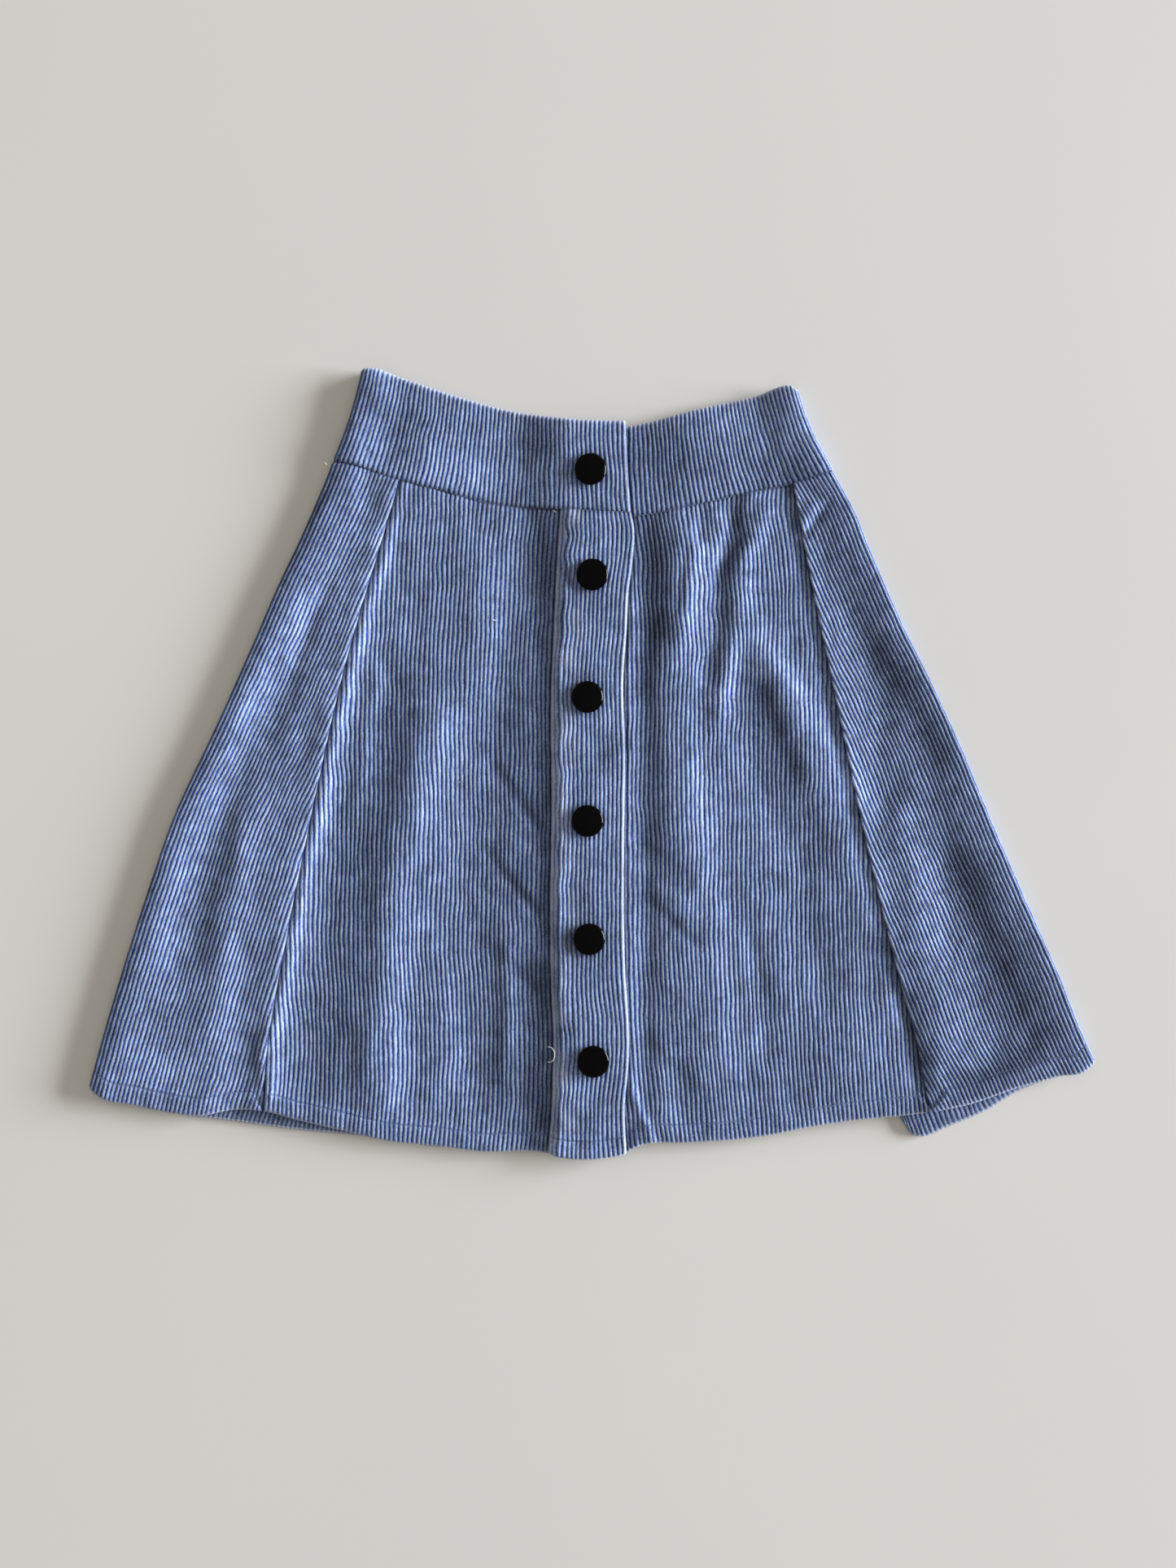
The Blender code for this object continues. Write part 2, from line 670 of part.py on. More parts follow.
def waistband(material):
    """One strip: hidden left end, left front, round the back, right front with the overlap."""
    left_seam, left_top = WAIST_SEAM_LEFT[-1], WAIST_TOP_LEFT[-1]
    right_seam, right_top = (SIDE_RIGHT[-2][1], SIDE_RIGHT[-2][0]), WAIST_TOP_RIGHT[0]
    left_cols, right_cols = 2 * BAND_WALES_LEFT + 1, 2 * BAND_WALES_RIGHT + 1
    left_x = (
        np.linspace(BAND_UNDER_END, left_seam[0] - BAND_RADIUS, left_cols),
        np.linspace(BAND_UNDER_END, left_top[0] - BAND_RADIUS, left_cols),
    )
    right_x = (
        np.linspace(right_seam[0] + BAND_RADIUS, BAND_END[0], right_cols),
        np.linspace(right_top[0] + BAND_RADIUS, BAND_END[1], right_cols),
    )
    left_out, left_in = band_half(
        WAIST_SEAM_LEFT, WAIST_TOP_LEFT, *left_x, lambda x: 0.0 * x, True
    )
    right_out, right_in = band_half(
        WAIST_SEAM_RIGHT,
        WAIST_TOP_RIGHT,
        *right_x,
        lambda x: BAND_LAP * smooth(x, BAND_UNDER_END - BAND_LAP_RUN, BAND_UNDER_END - 2.0),
        False,
    )
    roll_left = band_roll(left_seam, left_top, 1.0, BAND_TURN)
    roll_right = band_roll(right_seam, right_top, -1.0, BAND_TURN[::-1])
    # The back lies flat between the two rolls, on the same columns as the back panel.
    shares = np.array(back_shares()[::-1])
    low = np.array([back_ends((0, share, 0.0))[1] for share in shares])
    low_x = np.array([back_x((0, share, 0.0), y) for share, y in zip(shares, low)])
    start, end = roll_right[0][-1, 0, 0], roll_left[0][-1, -1, 0]
    high_x = start + (end - start) * shares
    high = np.where(high_x < 0, along(WAIST_TOP_RIGHT, high_x), along(WAIST_TOP_LEFT, high_x))
    high = high - BAND_BACK_INSET
    back_out, back_in = [], []
    for part in BAND_ROWS:
        x = low_x + (high_x - low_x) * part
        y = low + (high - low) * part
        back_out.append(np.stack([x, y, np.zeros(len(x))], axis=1))
        back_in.append(np.stack([x, y, np.full(len(x), BAND_WALL + WALE_RISE)], axis=1))
    parts_out = [left_out, roll_left[0], np.array(back_out), roll_right[0], right_out]
    parts_in = [left_in, roll_left[1], np.array(back_in), roll_right[1], right_in]
    outer = np.concatenate(parts_out, axis=1)
    inner = np.concatenate(parts_in, axis=1)
    first = left_out.shape[1]
    last = outer.shape[1] - right_out.shape[1]
    coarse = every(first) + list(range(first, last))
    coarse += [last + c for c in every(right_out.shape[1])]
    return wall("waistband", outer, inner[:, coarse], coarse, material), outer


def highest(outer, x, y, radius):
    """The highest place of a wall's outer grid within a radius of a point."""
    best = 0.0
    for column in outer.transpose(1, 0, 2):
        for at in np.linspace(y - radius, y + radius, 9):
            if abs(np.interp(at, column[:, 1], column[:, 0]) - x) <= radius:
                best = max(best, float(np.interp(at, column[:, 1], column[:, 2])))
    return best


def snap(number, x, y, under, material):
    """A turned cap with a thin rim and a low dome, lying on the highest wales under it."""
    base = highest(under, x, y, SNAP_RADIUS + 1.0) + SEAM_GAP
    ring = [2.0 * math.pi * k / SNAP_SIDES for k in range(SNAP_SIDES)]
    points = []
    for radius, height in SNAP_PROFILE:
        points += [(x + radius * math.cos(a), y + radius * math.sin(a), base + height) for a in ring]
    points += [(x, y, base), (x, y, base + SNAP_CROWN)]
    middle, crown = len(points) - 2, len(points) - 1
    faces = []
    last = (len(SNAP_PROFILE) - 1) * SNAP_SIDES
    for k in range(SNAP_SIDES):
        following = (k + 1) % SNAP_SIDES
        for level in range(len(SNAP_PROFILE) - 1):
            low, high = level * SNAP_SIDES, (level + 1) * SNAP_SIDES
            faces.append((low + k, low + following, high + following, high + k))
        faces.append((middle, following, k))
        faces.append((crown, last + k, last + following))
    return mesh_object(f"snap_{number}", points, faces, material)


def finish(name, colour, roughness):
    """A plain material; the colour is linear."""
    material = bpy.data.materials.new(name)
    material.use_nodes = True
    shader = material.node_tree.nodes["Principled BSDF"]
    shader.inputs["Base Color"].default_value = (*colour, 1.0)
    shader.inputs["Roughness"].default_value = roughness
    return material


def centred(solids):
    """Move every mesh so that the whole stands on the surface with the origin under its middle."""
    points = [vertex.co for solid in solids for vertex in solid.data.vertices]
    low = [min(point[k] for point in points) for k in range(3)]
    high = [max(point[k] for point in points) for k in range(3)]
    shift = [-(low[0] + high[0]) / 2.0, -(low[1] + high[1]) / 2.0, -low[2]]
    for solid in solids:
        for vertex in solid.data.vertices:
            vertex.co = [vertex.co[k] + shift[k] for k in range(3)]


def main():
    for item in list(bpy.data.objects):
        bpy.data.objects.remove(item, do_unlink=True)
    corduroy = finish("corduroy", (0.127, 0.165, 0.292), 0.9)
    gloss = finish("snap_cap", (0.008, 0.008, 0.009), 0.2)

    # Right front: its wales follow the placket's seam.
    right_cols = 2 * CENTRE_WALES_RIGHT + 1
    right_offsets = -np.arange(right_cols)[::-1] * WALE / 2.0 - SEAM_GAP / 2.0
    right_wales = (np.arange(right_cols) % 2).astype(float)

    def right_x(y):
        return along(PLACKET_INNER, y) + right_offsets

    # Left front: a plain hidden button stand, then wales along its own grain.
    left_cols = 2 * CENTRE_WALES_LEFT + 1
    ribs = np.arange(left_cols)
    left_offsets = STAND_TO_WALES + np.append([0, 0], ribs) * WALE / 2.0
    left_wales = np.append([0.9, 0.9], ribs % 2)
    out_of_stand = np.append([0.0, 0.5], np.ones(left_cols))

    def left_x(y):
        stand = along(PLACKET_INNER, y) + STAND_INSET
        ribbed = along(GRAIN_LEFT, y) + left_offsets
        return stand + (ribbed - stand) * out_of_stand

    solids = [
        back_panel(corduroy),
        back_hem(corduroy),
        side_panel("front_side_right", SIDE_RIGHT, PRINCESS_RIGHT, -1.0, SIDE_WALES_RIGHT, corduroy),
        side_panel("front_side_left", SIDE_LEFT, PRINCESS_LEFT, 1.0, SIDE_WALES_LEFT, corduroy),
        centre_panel(
            "front_centre_right", right_x, right_wales, PRINCESS_RIGHT, -1.0,
            every(right_cols), corduroy,
        ),
        centre_panel(
            "front_centre_left", left_x, left_wales, PRINCESS_LEFT, 1.0,
            [0, 1] + [2 + c for c in every(left_cols)], corduroy,
        ),
    ]
    placket_solid, placket_outer = placket(corduroy)
    band_solid, band_outer = waistband(corduroy)
    solids += [placket_solid, band_solid]
    for number, (x, y) in enumerate(SNAPS, start=1):
        under = band_outer if number == 1 else placket_outer
        solids.append(snap(number, x, y, under, gloss))
    centred(solids)


main()
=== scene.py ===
# %% [markdown]
# # A wide-wale corduroy skirt, laid flat
# The real skirt is cut from light blue cotton corduroy: a cloth with raised ribs, the wales, that run
# along its length. It is sewn as panels, closed in front with snaps, and lies on its back on a pale
# floor. The CAD model already has every piece in its true place. This lesson dresses each one in finer
# cloth of the same form: smooth sheets from a few tables of sizes, then wales, stitches and lint from
# Geometry Nodes. First the CAD frame is loaded.

# %% Load the frame
import math
from functools import partial

import bpy
import numpy as np
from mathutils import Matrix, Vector


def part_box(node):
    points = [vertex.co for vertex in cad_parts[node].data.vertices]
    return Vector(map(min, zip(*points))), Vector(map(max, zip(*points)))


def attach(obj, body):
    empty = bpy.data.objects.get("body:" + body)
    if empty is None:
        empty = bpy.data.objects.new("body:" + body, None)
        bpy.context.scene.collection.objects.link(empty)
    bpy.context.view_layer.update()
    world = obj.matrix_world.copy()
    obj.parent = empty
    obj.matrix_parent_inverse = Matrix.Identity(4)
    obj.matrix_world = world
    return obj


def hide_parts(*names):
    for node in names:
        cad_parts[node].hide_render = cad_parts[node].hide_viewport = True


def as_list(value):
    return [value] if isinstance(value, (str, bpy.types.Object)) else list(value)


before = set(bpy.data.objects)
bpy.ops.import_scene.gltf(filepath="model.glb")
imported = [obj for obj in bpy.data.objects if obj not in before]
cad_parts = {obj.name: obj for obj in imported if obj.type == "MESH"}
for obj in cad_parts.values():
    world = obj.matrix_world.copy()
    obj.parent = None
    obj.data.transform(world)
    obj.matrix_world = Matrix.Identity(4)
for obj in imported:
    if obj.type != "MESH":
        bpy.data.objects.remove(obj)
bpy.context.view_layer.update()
print("CAD nodes:", ", ".join(sorted(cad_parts)))

# %% [markdown]
# ## Sizes of the cloth
# A garment maker thinks in millimetres, so every size below is in mm and is turned into metres only
# when a mesh is made. They are the CAD model's own numbers: x across the skirt, y up to the waist, z up
# from the floor. "Right" and "left" are the wearer's. The wales are finer here than in the solids, so
# the sheet starts lower by PILE and its ribs rise to the same height as the solid's.

# %% Thicknesses, heights and counts
MM = 0.001
WALE = 3.175  # eight wales to the inch
PILE = 0.7  # height of a wale over its groove
PANEL_WALL = 0.95  # cloth under the wales
BACK_WALL = 1.5
BAND_WALL = 1.65  # the doubled waistband under its wales
PLACKET_WALL = 1.7
EDGE_SHARE = 0.55  # of the wall is left along a rounded edge
HEM_FOLD, HEM_STITCH, HEM_END, HEM_ROUND = 1.0, 12.5, 15.5, 1.5
FULL_HEM_LENGTH = 60.0
SEAM_GAP = 0.3
PRINCESS_INSET = 0.22
SIDE_WALES_RIGHT, CENTRE_WALES_RIGHT = 40, 63
CENTRE_WALES_LEFT, SIDE_WALES_LEFT = 68, 42
PLACKET_WALES = 17
BAND_WALES_LEFT, BAND_WALES_RIGHT = 52, 61
PER_WALE = 6  # columns of the mesh for each wale
COARSE = 12  # outer columns for each inner one
HEM_GUESS, ABOVE_SEAM, HEM_STEPS, HALVINGS = -240.0, 215.0, 12, 40
SIDE_RADIUS = 3.4
FLOOR_BODY, FLOOR_HEM, FLOOR_WAIST = 1.95, 3.4, 2.9
HEM_EASE, WAIST_EASE, EASE_IN = 45.0, 25.0, 35.0
FRONT_REST, FRONT_REACH = 1.4, 3.1
SEAM_RIDGE, SEAM_RIDGE_WIDTH, SEAM_RIDGE_END = 0.9, 10.0, (150.0, 230.0)
HEM_TO_ROLL = 12.0
BAND_RADIUS, BAND_REST, BAND_LAP, BAND_LAP_RUN = 4.25, 2.9, 3.0, 40.0
BAND_UNDER_END, BAND_END, BAND_BACK_INSET = -13.0, (27.0, 23.5), 1.5
PLACKET_LIFT, STAND_INSET, STAND_TO_WALES = 2.1, 9.0, 5.2
BACK_HEM_WALL, BACK_HEM_DEPTH, BACK_HEM_SIDE, BACK_HEM_LIFT = 0.6, 18.0, 9.0, 0.4
SNAPS = [(-1.1, 204.8), (0.2, 131.5), (-3.2, 46.4), (-3.2, -39.8), (-2.0, -122.1), (0.8, -207.1)]
SNAP_RADIUS = 11.1
print("one wale is", WALE, "mm, drawn with", PER_WALE, "columns")

# %% [markdown]
# ## The outline
# Each edge of the laid-out skirt is a short table of places read off the photograph. A smooth curve
# through the rows gives every place between them, as a French curve does on paper.

# %% Tables of the edges and seams
SIDE_RIGHT = [  # y, x of the fold along the right side
    (-262.0, -361.6), (-225.8, -351.8), (-204.9, -346.2), (-148.2, -329.7), (-91.5, -311.6),
    (-34.8, -291.7), (21.9, -265.1), (78.6, -239.6), (126.8, -218.6), (158.0, -203.8),
    (185.2, -191.9), (206.2, -183.4), (211.3, -181.6), (275.4, -161.3),
]
SIDE_LEFT = [  # y, x
    (-262.0, 379.0), (-206.9, 351.8), (-198.1, 347.3), (-148.2, 326.9), (-91.5, 301.9),
    (-34.8, 277.5), (10.6, 258.8), (56.0, 237.9), (101.3, 215.7), (146.7, 195.9),
    (180.7, 181.7), (203.4, 169.2), (261.2, 144.2),
]
PRINCESS_RIGHT = [  # y, x of the seam between side and centre front
    (-260.0, -231.0), (-204.9, -227.8), (-119.8, -213.3), (-26.3, -194.2), (69.6, -172.5),
    (154.9, -147.5), (215.0, -129.5),
]
PRINCESS_LEFT = [  # y, x
    (-260.0, 237.4), (-205.0, 229.5), (-140.5, 212.2), (-57.4, 192.0), (39.0, 171.5),
    (149.5, 148.8), (215.0, 137.0),
]
PLACKET_INNER = [  # y, x of the seam between placket and right front
    (-271.5, -31.1), (-234.3, -28.6), (-195.2, -27.7), (-136.8, -29.8), (-30.8, -28.9),
    (56.0, -28.9), (101.3, -26.9), (145.3, -24.9), (176.3, -22.6),
]
PLACKET_EDGE = [  # y, x of the placket's free edge
    (-270.6, 24.1), (-244.0, 23.0), (-200.3, 26.0), (-136.8, 23.0), (-57.4, 22.4), (12.6, 23.2),
    (56.0, 21.8), (91.7, 24.1), (120.6, 25.6), (142.1, 28.5), (163.9, 29.5), (175.6, 27.5),
]
GRAIN_LEFT = [  # y, x by which the left front's wales lean from straight
    (-270.0, 16.0), (-200.0, 10.0), (-150.0, 8.0), (0.0, 6.5), (100.0, 6.0), (145.0, 4.0),
    (176.0, 0.0),
]
WAIST_SEAM_RIGHT = [  # x, y under the right half of the waistband
    (-185.0, 212.0), (-164.7, 208.7), (-139.2, 199.4), (-106.3, 191.5), (-66.8, 181.3),
    (-23.5, 177.9), (5.4, 176.2), (30.0, 175.3),
]
WAIST_SEAM_LEFT = [  # x, y
    (-30.0, 172.0), (30.7, 173.3), (71.2, 181.3), (114.6, 190.7), (136.3, 195.0),
    (155.1, 200.8), (169.2, 204.6),
]
WAIST_TOP_RIGHT = [  # x, y along the top edge
    (-161.3, 275.4), (-149.4, 275.2), (-139.2, 271.7), (-103.0, 259.5), (-52.4, 245.6),
    (-9.0, 239.8), (23.5, 239.0),
]
WAIST_TOP_LEFT = [  # x, y
    (-24.0, 234.0), (27.8, 236.3), (71.2, 247.0), (114.6, 256.7), (139.8, 262.9),
    (144.2, 261.2),
]
HEM_FRONT = [  # x, y of the front's lower edge
    (-351.8, -225.8), (-345.0, -231.6), (-320.6, -238.1), (-291.7, -244.0), (-274.3, -245.6),
    (-251.5, -241.7), (-226.5, -242.8), (-210.1, -247.4), (-171.5, -256.5), (-143.2, -263.1),
    (-110.3, -266.4), (-76.8, -270.6), (-35.4, -271.0), (-20.4, -274.4), (-6.0, -275.4),
    (8.8, -274.4), (21.6, -272.0), (34.6, -266.2), (64.9, -264.4), (93.8, -262.7),
    (122.8, -259.3), (151.7, -253.6), (180.6, -249.1), (209.5, -246.2), (231.1, -243.8),
    (263.3, -237.7), (300.2, -225.3), (324.6, -218.5), (348.1, -211.1), (351.8, -206.9),
]
HEM_BACK = [  # x, y of the back's lower edge
    (-351.8, -225.8), (-320.0, -239.5), (-291.7, -245.2), (-251.5, -250.2), (-205.0, -256.5),
    (-151.7, -261.6), (-110.3, -268.1), (-70.0, -268.5), (0.0, -264.0), (70.0, -257.0),
    (140.0, -248.0), (206.0, -240.5), (216.3, -247.4), (224.0, -259.5), (229.0, -261.0),
    (250.9, -253.6), (275.6, -243.2), (300.2, -228.6), (324.6, -219.0), (351.8, -206.9),
]


def along(table, value):
    """The table's second column where its first has the value, on a smooth curve through its rows."""
    at, level = np.array(table, float).T
    width = np.diff(at)
    slope = np.diff(level) / width
    bend = (slope[:-1] * width[1:] + slope[1:] * width[:-1]) / (width[:-1] + width[1:])
    tangent = np.concatenate([slope[:1], bend, slope[-1:]])
    value = np.clip(value, at[0], at[-1])
    i = np.clip(np.searchsorted(at, value, side="right") - 1, 0, len(width) - 1)
    t = (value - at[i]) / width[i]
    start = (1.0 + 2.0 * t) * level[i] + t * width[i] * tangent[i]
    end = (3.0 - 2.0 * t) * level[i + 1] - (1.0 - t) * width[i] * tangent[i + 1]
    return (1.0 - t) ** 2 * start + t**2 * end


def smooth(value, start, end):
    """0 before start, 1 past end and an even curve between them."""
    t = np.clip((value - start) / (end - start), 0.0, 1.0)
    return t * t * (3.0 - 2.0 * t)


def near(distance, width):
    """1 at a line and fading to 0 over about twice the width on each side of it."""
    return np.exp(-((distance / width) ** 2))


print("waist to hem at the middle:", round(float(along(WAIST_SEAM_LEFT, 0) - along(HEM_FRONT, 0))), "mm")

# %% [markdown]
# ## Folds
# Cloth laid by hand keeps soft folds. Each row below is one of them: a line of three points, half its
# width and its height, with troughs below zero. The front's inner face is the height of what lies
# under it plus these folds. tanh() keeps a deep trough from reaching the back.

# %% Folds and the height of the front
FOLDS = [  # x, y at the top, middle and lower end, half width, height
    (-132, 84, -173, -69, -196, -216, 18, -1.2),
    (-114, 28, -141, -80, -151, -239, 14, 1.3),
    (-71, 28, -88, -91, -84, -245, 20, -1.1),
    (-47, 164, -56, 101, -71, 28, 14, -0.9),
    (68, 152, 59, 67, 63, -46, 13, 1.5),
    (63, -46, 72, -120, 81, -216, 17, 0.7),
    (36, 165, 34, 0, 36, -240, 8, -1.2),
    (98, 175, 92, 124, 80, 62, 7, -0.9),
    (108, 169, 102, 101, 89, 39, 8, 0.8),
    (95, 124, 146, 22, 193, -106, 13, 1.2),
    (101, 50, 126, -35, 155, -148, 14, -1.0),
    (184, 101, 199, 45, 206, -23, 12, -1.1),
    (211, -35, 223, -120, 245, -199, 12, 0.9),
    (240, -57, 262, -131, 282, -199, 15, -1.6),
    (-223, 50, -266, -46, -287, -137, 16, -1.5),
    (-242, -35, -258, -103, -264, -182, 12, 0.9),
    (-242, -199, -249, -230, -251, -242, 9, -0.8),
]
CREASES = [  # the same for short, sharp creases
    (-181, 199, -196, 174, -202, 165, 3.0, -0.9),
    (165, 182, 157, 171, 148, 160, 3.0, -1.0),
    (154, 181, 149, 172, 146, 164, 5.0, 0.8),
    (105, 158, 90, 137, 86, 124, 5.0, -1.0),
    (80, 182, 77, 170, 75, 158, 5.0, -0.8),
    (121, 175, 112, 158, 102, 141, 6.0, 0.8),
    (92, 166, 88, 154, 84, 141, 5.0, 0.8),
    (66, 150, 62, 128, 60, 108, 4.0, -0.7),
    (25, -222, 35, -245, 41, -262, 3.5, 1.0),
    (33, -228, 41, -247, 48, -262, 4.0, -0.8),
    (218, -165, 225, -199, 231, -225, 7.0, -1.2),
    (-225, -185, -232, -205, -228, -230, 5.0, 0.9),
    (-150, 60, -158, 20, -166, -30, 7.0, 0.8),
    (-188, 120, -205, 75, -222, 30, 6.0, -0.8),
    (-60, -130, -58, -175, -62, -215, 6.0, 0.6),
    (110, -120, 118, -160, 122, -205, 7.0, -0.6),
    (-68, -4, -54, -24, -39, -44, 4.0, -0.5),
    (-72, -64, -56, -85, -40, -104, 4.0, -0.5),
    (38, -94, 55, -110, 74, -127, 4.0, -0.4),
]
BAND_FOLDS = [  # x, half width, height
    (-118.0, 22.0, 0.7), (-72.0, 16.0, -0.3), (-40.0, 18.0, 0.4), (72.0, 20.0, 0.6),
    (108.0, 16.0, -0.3),
]


def crease(x, y, fold):
    """The height of one soft fold, which fades out past both of its ends."""
    points = np.array(fold[:6], float).reshape(3, 2)
    half_width, height = fold[6:]
    nearest = np.full(np.shape(x), np.inf)
    for start, end in zip(points, points[1:]):
        run = end - start
        t = ((x - start[0]) * run[0] + (y - start[1]) * run[1]) / (run @ run)
        t = np.clip(t, 0.0, 1.0)
        off = np.hypot(x - start[0] - t * run[0], y - start[1] - t * run[1])
        nearest = np.minimum(nearest, off)
    return height * near(nearest, half_width)


def waist_at(x):
    """Y of the seam under the waistband."""
    return np.where(x < 0, along(WAIST_SEAM_RIGHT, x), along(WAIST_SEAM_LEFT, x))


def front_inside(x, y):
    """Height of the front's inner face over the floor."""
    over_hem = 1.0 - smooth(y - along(HEM_BACK, x), BACK_HEM_DEPTH, HEM_EASE)
    at_waist = smooth(y, waist_at(x) - WAIST_EASE, waist_at(x))
    floor = FLOOR_BODY + (FLOOR_HEM - FLOOR_BODY) * over_hem
    floor = floor + (FLOOR_WAIST - FLOOR_BODY) * at_waist
    folds = sum(crease(x, y, fold) for fold in FOLDS + CREASES)
    edge, seam = along(PLACKET_EDGE, y), along(PLACKET_INNER, y)
    beside = smooth(x, edge - 3.0, edge + 6.0) + 1.0 - smooth(x, seam - 10.0, seam)
    half = FRONT_REACH / 2.0
    lift = half * (1.0 + np.tanh((FRONT_REST + folds * beside - half) / half))
    return floor + lift * (1.0 - 0.5 * np.maximum(over_hem, at_waist))


print("folds placed by hand:", len(FOLDS) + len(CREASES) + len(BAND_FOLDS))

# %% [markdown]
# ## Unevenness that stays the same each time
# Between the folds, cloth is never quite flat and its wales never quite straight. ripple() is a small
# table of random heights, always drawn from the same seed, with smooth slopes between them. Its bumps
# have a width and a length in mm. cockle() lifts the cloth with it and drift() pushes wales sideways.

# %% Seeded ripples
RIPPLE_GRID = 64


def ripple(x, y, across, down, seed):
    """Smooth unevenness between -1 and 1 whose bumps are about across by down mm."""
    table = np.random.default_rng(seed).uniform(-1.0, 1.0, (RIPPLE_GRID, RIPPLE_GRID))
    i, j = np.broadcast_arrays(x / across + 500.3, y / down + 500.7)
    left, low = np.floor(i).astype(int), np.floor(j).astype(int)
    s, t = smooth(i - left, 0.0, 1.0), smooth(j - low, 0.0, 1.0)
    left, low = left % RIPPLE_GRID, low % RIPPLE_GRID
    right, high = (left + 1) % RIPPLE_GRID, (low + 1) % RIPPLE_GRID
    lower = table[left, low] * (1.0 - s) + table[right, low] * s
    upper = table[left, high] * (1.0 - s) + table[right, high] * s
    return lower * (1.0 - t) + upper * t


def cockle(x, y):
    """Small rises and dips of the cloth, in mm."""
    return 0.34 * ripple(x, y, 24, 55, 1) + 0.20 * ripple(x, y, 11, 22, 2)


def drift(x, y, strength=1.0):
    """How far the wales wander sideways, in mm; most where the left front was tugged at the waist."""
    tugged = 1.0 + 1.3 * near(x - 72.0, 50.0) * near(y - 112.0, 65.0)
    return strength * tugged * (0.75 * ripple(x, y, 22, 34, 3) + 0.40 * ripple(x, y, 13, 15, 4))


print("a cockle reaches", round(float(np.abs(cockle(np.arange(300.0), 0.0)).max()), 2), "mm")

# %% [markdown]
# ## One helper for nodes, one for colours
# Materials and Geometry Nodes are both trees of nodes, so one small function adds a node of any kind,
# sets it, links it and hands back the output that is used next. Colours are written as sRGB hex, as a
# paint chart gives them. Blender works with linear light, so one function turns them.

# %% Node, colour and object helpers


def add_node(tree, kind, links=None, out=0, **settings):
    """Add a node with these properties and with links to its inputs by values or sockets."""
    made = tree.nodes.new(kind)
    for name, value in settings.items():
        setattr(made, name, value)
    for key, value in (links or {}).items():
        if isinstance(value, bpy.types.NodeSocket):
            tree.links.new(value, made.inputs[key])
        else:
            made.inputs[key].default_value = value
    return made.outputs[out]


def linear(hex_colour):
    """An sRGB hex colour as linear red, green, blue and alpha."""
    parts = [int(hex_colour[k : k + 2], 16) / 255.0 for k in (1, 3, 5)]
    return (*[c / 12.92 if c <= 0.04045 else ((c + 0.055) / 1.055) ** 2.4 for c in parts], 1.0)


def new_material(name, values):
    """A material with these values on its shader, and its tree, its shader and its place in space."""
    material = bpy.data.materials.new(name)
    material.use_nodes = True
    tree = material.node_tree
    shader = tree.nodes["Principled BSDF"]
    for label, value in values.items():
        shader.inputs[label].default_value = value
    return material, tree, shader, add_node(tree, "ShaderNodeTexCoord", out="Object")


def clouded_material(name, scale, detail, colours, values):
    """A material whose noise drifts between two colours; its tree, shader and noise come with it."""
    material, tree, shader, place = new_material(name, values)
    clouds = add_node(tree, "ShaderNodeTexNoise", {"Vector": place, "Scale": scale, "Detail": detail})
    low, high = [linear(colour) for colour in colours]
    colour = add_node(tree, "ShaderNodeMix", {0: clouds, 6: low, 7: high}, out=2, data_type="RGBA")
    tree.links.new(colour, shader.inputs["Base Color"])
    return material, tree, shader, clouds


def new_object(name, data, home=None):
    """An object with this data, in the scene's own collection or in the given one."""
    made = bpy.data.objects.new(name, data)
    (home or bpy.context.scene.collection).objects.link(made)
    return made


print("middle blue in linear light:", [round(c, 3) for c in linear("#647193")])

# %% [markdown]
# ## The corduroy's colour, with painted light and shade
# Cotton corduroy is woven with loops of extra weft that are cut and brushed up into ribs. The tips of
# the cut fibres catch light, so a wale is pale along its crest, and the ground between two wales is
# deep and dark; the colour ramp paints part of this highlight and shade. Wear makes the crests paler
# still. The pattern reads the cloth's own UV map, which counts wales across and the same length along,
# so it follows every lean and bend of the cloth. Real fibres are too fine to show, so the tufts are
# drawn coarser, about 1 mm wide and 2 mm long. The attributes "worn", "tone" and "lining" come with
# each sheet: rubbed edges, painted light and shade with some random patches, and the plain inner face.

# %% Corduroy material
# The ramp paints shade into the grooves and a highlight on the crests, over the cloth's own blue.
RIB_COLOURS = [  # share from groove to crest, colour
    (0.00, "#1F2E67"),
    (0.20, "#364B8B"),
    (0.42, "#6178AC"),
    (0.66, "#7E91B5"),
    (1.00, "#94A4BF"),
]
WORN_COLOUR, LINING_COLOUR, BLOOM_COLOUR = "#BCC5DA", "#61719F", "#C9D4F0"
STREAKED, KINKED, COMBED = (0.9, 0.07, 1.0), (0.5, 0.4, 1.0), (1.0, 0.5, 1.0)  # noise per wale
TONE_STEP = 2.2  # a tone of 1 makes the blue this many times lighter
BASE_LEVEL, PATCHY, MOTTLED, STREAKY = -0.23, 0.5, 1.1, 0.65  # shares in how light the blue is


